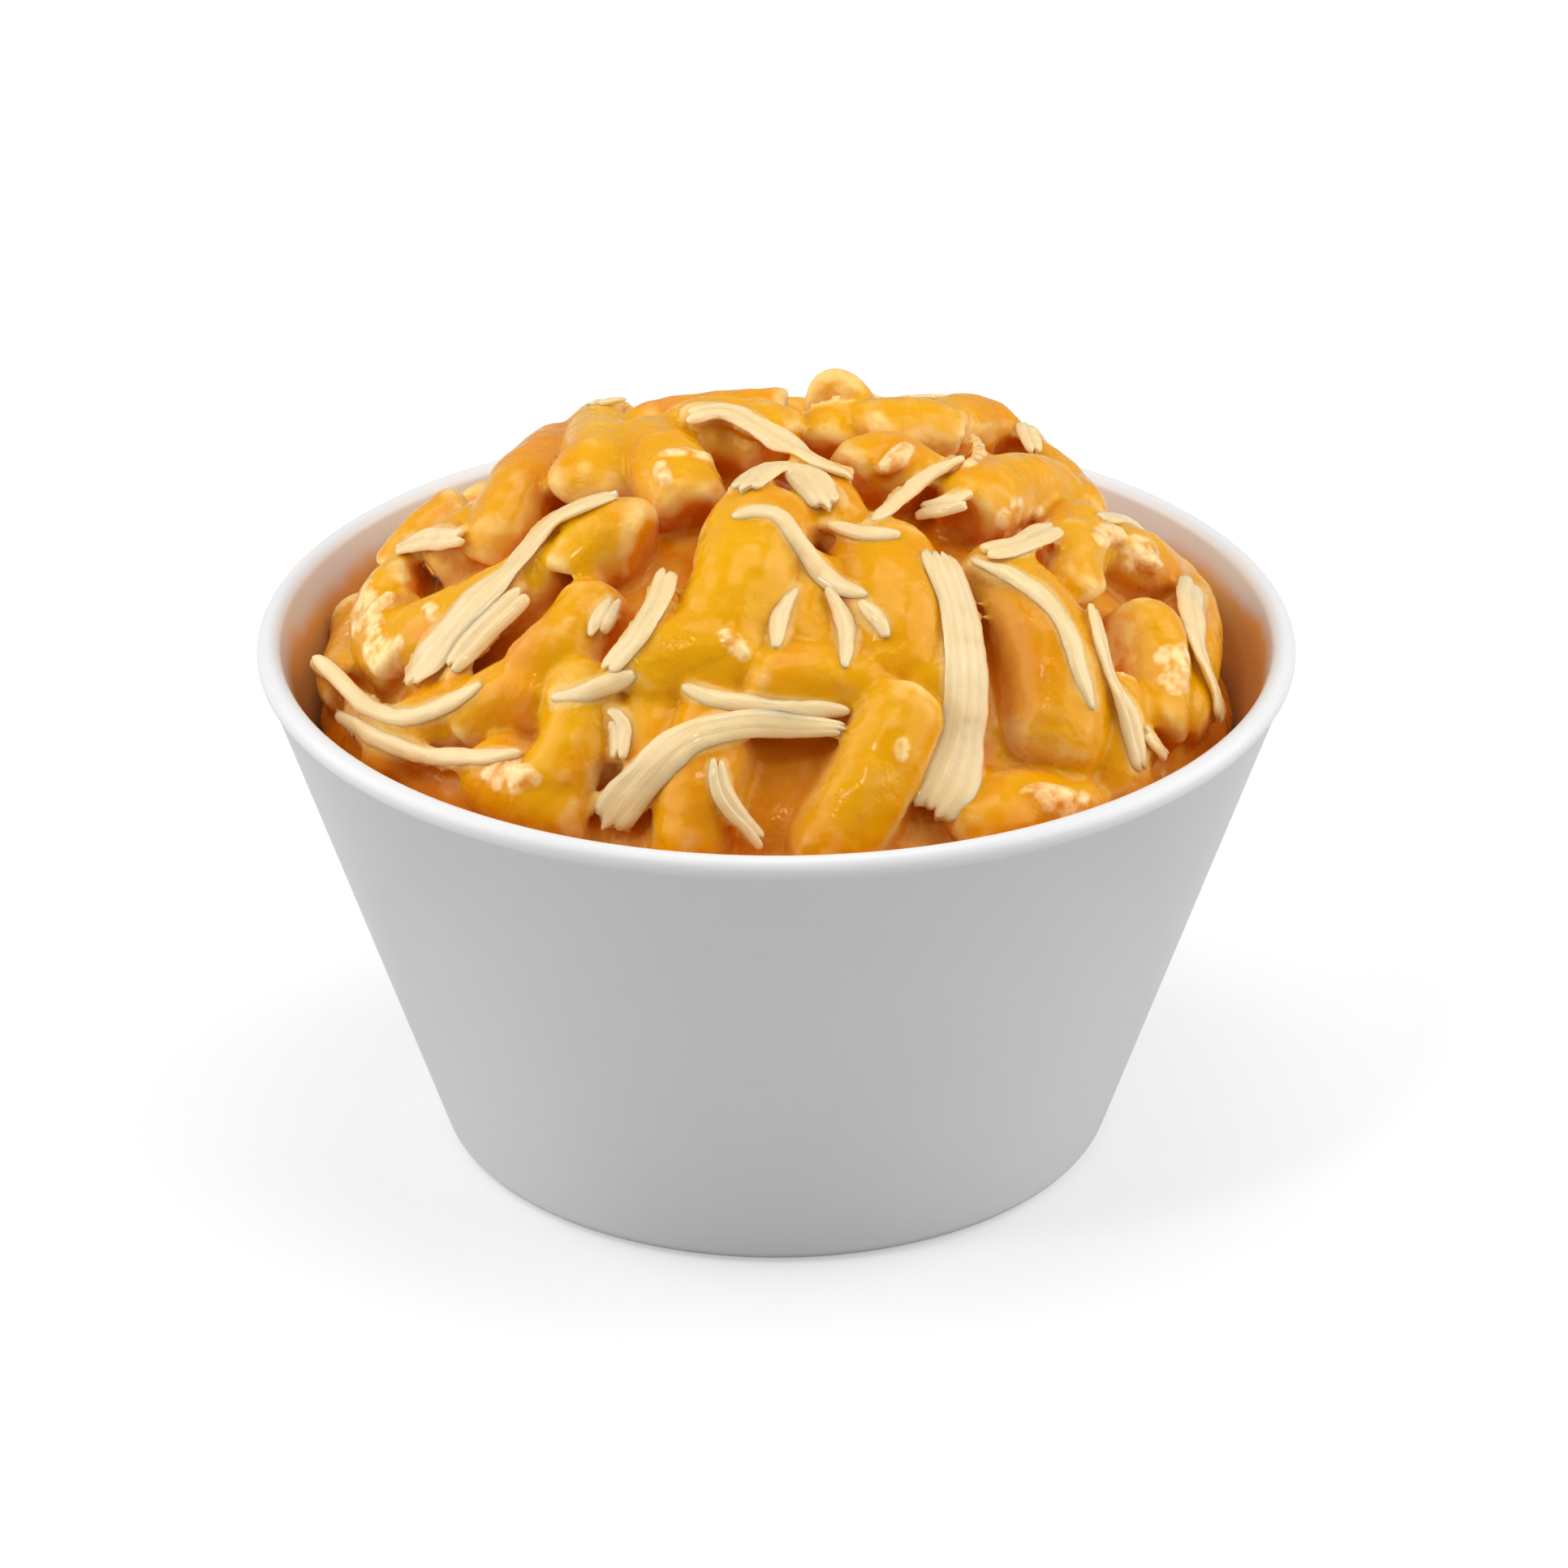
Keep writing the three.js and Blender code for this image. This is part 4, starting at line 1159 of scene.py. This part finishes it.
def laid_strip(model, line, lean, widths, thickness, draw):
    """A copy of a straight strip, laid along a line over the food, with its strands and frayed ends."""
    mesh = model.data.copy()
    x, y, z = positions(mesh).T
    part = np.hypot(x, y)
    angle = np.arctan2(y, x)
    across = np.sign(np.cos(angle)) * np.abs(np.cos(angle)) ** STRIP_LENS[0] * part
    through = np.sign(np.sin(angle)) * np.abs(np.sin(angle)) ** STRIP_LENS[1] * part**0.5

    run = np.linalg.norm(np.diff(line, axis=0), axis=1).sum()
    count = max(1, round(max(widths) / STRAND_WIDTH))
    groove = (1 - np.abs(np.sin(math.pi * count * (across + 1) / 2))) * (np.abs(across) < 1 - 0.6 / count)
    centres = (np.arange(count) + 0.5) / count * 2 - 1
    first, last = (
        FRAY / run * (np.interp(across, centres, [draw((0, 1)) for _ in centres]) + 0.6 * groove)
        for _ in range(2)
    )
    z = first + (1 - last - first) * z
    tip = np.clip(np.minimum(z - first, 1 - last - z) * run / TIP_LENGTH, 0, 1)
    tip_width = TIP_WIDTH if count == 1 else 1 - (1 - TIP_WIDTH) / count
    taper = tip_width + (1 - tip_width) * np.sqrt(tip * (2 - tip))
    wave, seed = draw((0, 50)), draw((0, 50))
    width = widths[0] + (widths[1] - widths[0]) * z
    width *= taper * (1 + WIDTH_WANDER * wavering(z * run / WIDTH_LENGTH, wave))
    depth = thickness * (1 - STRAND_GROOVE * groove) * (0.6 + 0.4 * taper)
    wander = STRIP_WANDER * wavering(z * run / WANDER_LENGTH, seed)

    tangents = unit(np.gradient(line, axis=0))
    outwards = heap_directions(line * MM)
    sides = unit(np.cross(tangents, outwards))
    outwards = np.cross(sides, tangents)
    turn = np.arctan(np.clip(lean, -1.2, 1.2) / max(widths))[:, None]
    tilted = sides * np.cos(turn) + outwards * np.sin(turn)
    raised = outwards * np.cos(turn) - sides * np.sin(turn)
    at = np.linspace(0, 1, len(line))
    place, side, rise = (
        np.stack([np.interp(z, at, values[:, k]) for k in range(3)], axis=1)
        for values in (line, tilted, raised)
    )
    place += side * (wander + across * width / 2)[:, None] + rise * (through * depth / 2)[:, None]
    move_vertices(mesh, place * MM)
    mark(mesh, "along", z * run)
    mark(mesh, "across", across * count)
    mark(mesh, "edge", np.abs(across))
    mark(mesh, "strip", seed)
    return linked("strip", mesh)


def froth_pieces(tree):
    """Beads of sauce and streaks of melted cheese, sunk into the elbows that they cling to."""
    draw = make_draw(FROTH_SEED)
    deselect()
    bpy.ops.mesh.primitive_ico_sphere_add(subdivisions=2, radius=MM, location=(0, 0, 0))
    model = bpy.context.object
    pieces = []
    for (across, up), (wide, tall), count in FROTH:
        for _ in range(count):
            angle = draw((0, math.tau))
            out = math.sqrt(draw((0, 1)))
            radius = draw(BEAD_RADIUS) * (BEAD_SHARE[0] - BEAD_SHARE[1] * out)
            place, normal = surface_point(
                tree, across + wide * out * math.cos(angle), up + tall * out * math.sin(angle)
            )
            if place is None:
                continue
            mesh = model.data.copy()
            centre = np.array(place + normal * radius * (1 - 2 * BEAD_SUNK) * MM)
            move_vertices(mesh, positions(mesh) * radius + centre)
            pieces.append(linked("bead", mesh))
    strip = strip_model()
    for width, places in MELTS:
        line, lean = draped_line(
            places, (width, width), MELT_DEPTH, MELT_SUNK, [tree], surface_point, onto_heap
        )
        pieces.append(laid_strip(strip, line, lean, (width, width), MELT_DEPTH, draw))
    discard(model, strip)
    return pieces


def all_strips():
    """Each strip's widths and places, and how its places are carried onto the heap."""
    front = [(*strip, surface_point, onto_heap) for strip in SHREDS]
    return front + [(*strip, surface_below, over_heap) for strip in BACK_SHREDS]


def melted_edges(tree):
    """The low ridges of sauce along the strips of cheese."""
    draw = make_draw(MELTED_SEED)
    model = strip_model()
    pieces = []
    for widths, places, meet, onto in all_strips():
        wider = [width + MELTED_WIDER for width in widths]
        line, lean = draped_line(places, wider, MELTED_DEPTH, MELTED_SUNK, [tree], meet, onto)
        pieces.append(laid_strip(model, line, lean, wider, MELTED_DEPTH, draw))
    discard(model)
    return pieces


def mark_near(piece, name, tree):
    """Marks each vertex that lies on what the tree was made from."""
    gaps = [tree.find_nearest(Vector(place), MARK_BLEND * MM)[3] for place in positions(piece.data).tolist()]
    near = np.array([MARK_BLEND * MM if gap is None else gap for gap in gaps])
    mark(piece.data, name, 1 - near / (MARK_BLEND * MM))


class MACBOWL_OT_macaroni(Operator):
    """Makes the macaroni elbows that show on the heap, coated and held together by sauce"""

    bl_idname = "macbowl.macaroni"
    bl_label = "Macaroni"

    def execute(self, context):
        settings = context.scene.macbowl_macaroni
        elbows = all_elbows()
        models = {ends: tube_model(ends) for ends in ((), (0,), (1,))}
        pieces = [bent(models[elbow["open"]], elbow, 0, (0, 1), i) for i, elbow in enumerate(elbows)]
        discard(*models.values())
        heap = joined("macaroni_elbows", [*pieces, sauce_bed(elbows)])
        tree = tree_of([heap])
        froth = froth_pieces(tree)
        melted = melted_edges(tree)
        froth_tree = tree_of(froth)
        melted_tree = tree_of(melted)
        heap = joined("macaroni_elbows", [heap, *froth, *melted])
        modified(heap, "REMESH", mode="VOXEL", voxel_size=HEAP_VOXEL * MM)
        modified(heap, "SMOOTH", factor=0.5, iterations=HEAP_SMOOTHING)
        edit_all()
        bpy.ops.mesh.bisect(
            plane_co=(0, 0, CORE_CUT * MM), plane_no=(0, 0, 1), use_fill=True, clear_inner=True
        )
        bpy.ops.object.mode_set(mode="OBJECT")
        mark_elbows(heap, elbows)
        mark_near(heap, "froth", froth_tree)
        mark_near(heap, "melted", melted_tree)
        roughened(heap, DENT_LENGTH * MM, settings.dent, "Dents")
        roughened(heap, SKIN_LENGTH * MM, settings.dent / 3, "Skin")
        smooth_shaded(heap)
        dressed(heap, macaroni_material(settings), "sauced_pasta", "macaroni")
        return {"FINISHED"}


def sky_directions(count):
    """Directions spread evenly over the sky."""
    for i in range(count):
        up = SKY_HEIGHTS[0] + (SKY_HEIGHTS[1] - SKY_HEIGHTS[0]) * (i + 0.5) / count
        out = math.sqrt(1 - up * up)
        yield Vector((out * math.cos(i * GOLDEN_ANGLE), out * math.sin(i * GOLDEN_ANGLE), up))


def measure_openness(piece, tree, reach):
    """Marks each vertex with the share of the sky that it sees, 0 in a gap and 1 in the open, from which the
    materials paint shade. What lies far down in the heap counts as less open."""
    directions = list(sky_directions(SKY_RAYS))
    facing = normals(piece.data)
    places = positions(piece.data) + facing * (SKY_START * MM)
    weights = np.clip(facing @ np.array(directions).T, 0, None) + 0.05
    seen = np.zeros(len(places))
    for i, (place, row) in enumerate(zip(places.tolist(), weights.tolist())):
        origin = Vector(place)
        seen[i] = sum(
            weight
            for direction, weight in zip(directions, row)
            if tree.ray_cast(origin, direction, reach * MM)[0] is None
        )
    gap_shade = np.clip((heap_depths(places) - DEEP_FROM) / (DEEP_TO - DEEP_FROM), 0, 1)
    mark(piece.data, "openness", seen / weights.sum(axis=1) * (1 - DEEP_SHADE * gap_shade))


def measure_crests(piece):
    """Marks each vertex with how sharply the surface stands out there, from 0 to 1."""
    mesh = piece.data
    edges = np.empty(len(mesh.edges) * 2, dtype=np.int64)
    mesh.edges.foreach_get("vertices", edges)
    one, other = edges.reshape(-1, 2).T
    places = positions(mesh)
    smooth = places.copy()
    count = np.bincount(edges, minlength=len(places))[:, None]
    for _ in range(CREST_ROUNDS):
        total = np.zeros_like(smooth)
        np.add.at(total, one, smooth[other])
        np.add.at(total, other, smooth[one])
        smooth = total / np.maximum(count, 1)
    out = ((places - smooth) * normals(mesh)).sum(axis=1)
    mark(mesh, "crest", np.clip(out / np.percentile(out, 99), 0, 1))


class MACBOWL_OT_shade(Operator):
    """Marks the gaps and crests of the food, where its materials paint shade and a pale sheen"""

    bl_idname = "macbowl.shade"
    bl_label = "Gaps and crests"

    def execute(self, context):
        heap = piece_named("macaroni_elbows")
        measure_openness(heap, tree_of([heap, piece_named("stoneware_bowl")]), SKY_REACH)
        measure_crests(heap)
        outwards = heap_directions(positions(heap.data))
        mark(heap.data, "facing", (normals(heap.data) * outwards).sum(axis=1))
        return {"FINISHED"}


class MACBOWL_OT_cheese(Operator):
    """Lays the strips of grated cheese over the food"""

    bl_idname = "macbowl.cheese"
    bl_label = "Grated cheese"

    def execute(self, context):
        settings = context.scene.macbowl_cheese
        thickness = settings.thickness / MM
        model = strip_model()
        trees = [tree_of([piece_named("macaroni_elbows")])]
        draw = make_draw(CHEESE_SEED)
        pieces = []
        for widths, places, meet, onto in all_strips():
            line, lean = draped_line(places, widths, thickness, SHRED_SUNK, trees, meet, onto)
            strip = laid_strip(model, line, lean, widths, thickness, draw)
            trees.append(tree_of([strip]))
            pieces.append(strip)
        discard(model)
        cheese = joined("grated_cheese", pieces)
        roughened(cheese, CHEESE_LUMPS[0] * MM, CHEESE_LUMPS[1] * MM, "Softened")
        smooth_shaded(cheese)
        measure_openness(cheese, tree_of([cheese, piece_named("macaroni_elbows")]), CHEESE_REACH)
        names = [f"shred_{i + 1:02d}" for i in range(len(pieces))]
        dressed(cheese, cheese_material(settings), "grated_cheese", *names)
        return {"FINISHED"}


# ---------------------------------------------------------------- stage


def add_light(name, place, size, power):
    data = bpy.data.lights.new(name, "AREA")
    data.shape = "DISK"
    data.size = size
    data.energy = power
    light = linked(name, data)
    light.location = place
    light.rotation_euler = (LIGHTS_AIM - Vector(place)).to_track_quat("-Z", "Y").to_euler()


def add_floor(settings):
    deselect()
    bpy.ops.mesh.primitive_plane_add(size=FLOOR_SIZE, location=(0, 0, 0))
    floor = bpy.context.object
    floor.name = "floor"
    material, tree, shader, place = new_material("Pale floor")
    seen = add(tree, "ShaderNodeLightPath", output="Is Camera Ray")
    low = solid(c * 0.985 for c in settings.floor)
    set_shader(
        shader, Base_Color=blended(clouds(place, 0.2, 2.0), low, solid(settings.floor)),
        Roughness=0.9, Specular_IOR_Level=0.0, Emission_Strength=settings.lift,
        Emission_Color=blended(seen, (0, 0, 0, 1), (1, 1, 1, 1)),
    )
    floor.data.materials.append(material)
    return floor


def add_sky(strength):
    """A white sky, which lights the object evenly and weakly."""
    world = bpy.data.worlds.new("Studio")
    world.use_nodes = True
    inputs = world.node_tree.nodes["Background"].inputs
    inputs["Color"].default_value = (1, 1, 1, 1)
    seen = add(world.node_tree, "ShaderNodeLightPath", output="Is Camera Ray")
    feed(world.node_tree, inputs["Strength"], seen.most(strength))
    return world


def add_camera():
    data = bpy.data.cameras.new("camera")
    data.sensor_width = CAMERA_SENSOR
    data.lens = CAMERA_LENS
    data.shift_x, data.shift_y = CAMERA_SHIFT
    data.clip_end = 20
    camera = linked("camera", data)
    camera.location = EYE * MM
    camera.rotation_euler = (Vector((0, 0, AIM_HEIGHT)) - EYE).to_track_quat("-Z", "Y").to_euler()
    return camera


class MACBOWL_OT_stage(Operator):
    """Sets the floor, the lights and the camera"""

    bl_idname = "macbowl.stage"
    bl_label = "Stage"

    def execute(self, context):
        settings = context.scene.macbowl_studio
        add_floor(settings)
        for name, (place, size, setting) in LIGHTS.items():
            add_light(name, place, size, getattr(settings, setting))
        context.scene.world = add_sky(settings.sky)
        context.scene.view_settings.view_transform = "Standard"
        context.scene.camera = add_camera()
        return {"FINISHED"}


# ---------------------------------------------------------------- add-on


OPERATORS = (
    MACBOWL_OT_stage,
    MACBOWL_OT_bowl,
    MACBOWL_OT_core,
    MACBOWL_OT_macaroni,
    MACBOWL_OT_shade,
    MACBOWL_OT_cheese,
)
SETTINGS = {
    "macbowl_bowl": BowlSettings,
    "macbowl_macaroni": MacaroniSettings,
    "macbowl_sauce": SauceSettings,
    "macbowl_cheese": CheeseSettings,
    "macbowl_studio": StudioSettings,
}


class MACBOWL_PT_panel(Panel):
    """Lists the steps and their settings"""

    bl_label = "Macaroni and cheese"
    bl_idname = "MACBOWL_PT_panel"
    bl_space_type = "VIEW_3D"
    bl_region_type = "UI"
    bl_category = "Macaroni"

    def draw(self, context):
        for operator in OPERATORS:
            self.layout.operator(operator.bl_idname)
        for name, group in SETTINGS.items():
            box = self.layout.box()
            for key in group.__annotations__:
                box.prop(getattr(context.scene, name), key)


def register():
    for cls in (*SETTINGS.values(), *OPERATORS, MACBOWL_PT_panel):
        bpy.utils.register_class(cls)
    for name, group in SETTINGS.items():
        setattr(bpy.types.Scene, name, PointerProperty(type=group))


def unregister():
    for name in SETTINGS:
        delattr(bpy.types.Scene, name)
    for cls in reversed((*SETTINGS.values(), *OPERATORS, MACBOWL_PT_panel)):
        bpy.utils.unregister_class(cls)


def main():
    register()
    bpy.ops.macbowl.stage()
    bpy.ops.macbowl.bowl()
    bpy.ops.macbowl.core()
    bpy.ops.macbowl.macaroni()
    bpy.ops.macbowl.shade()
    bpy.ops.macbowl.cheese()


if __name__ == "__main__":
    main()
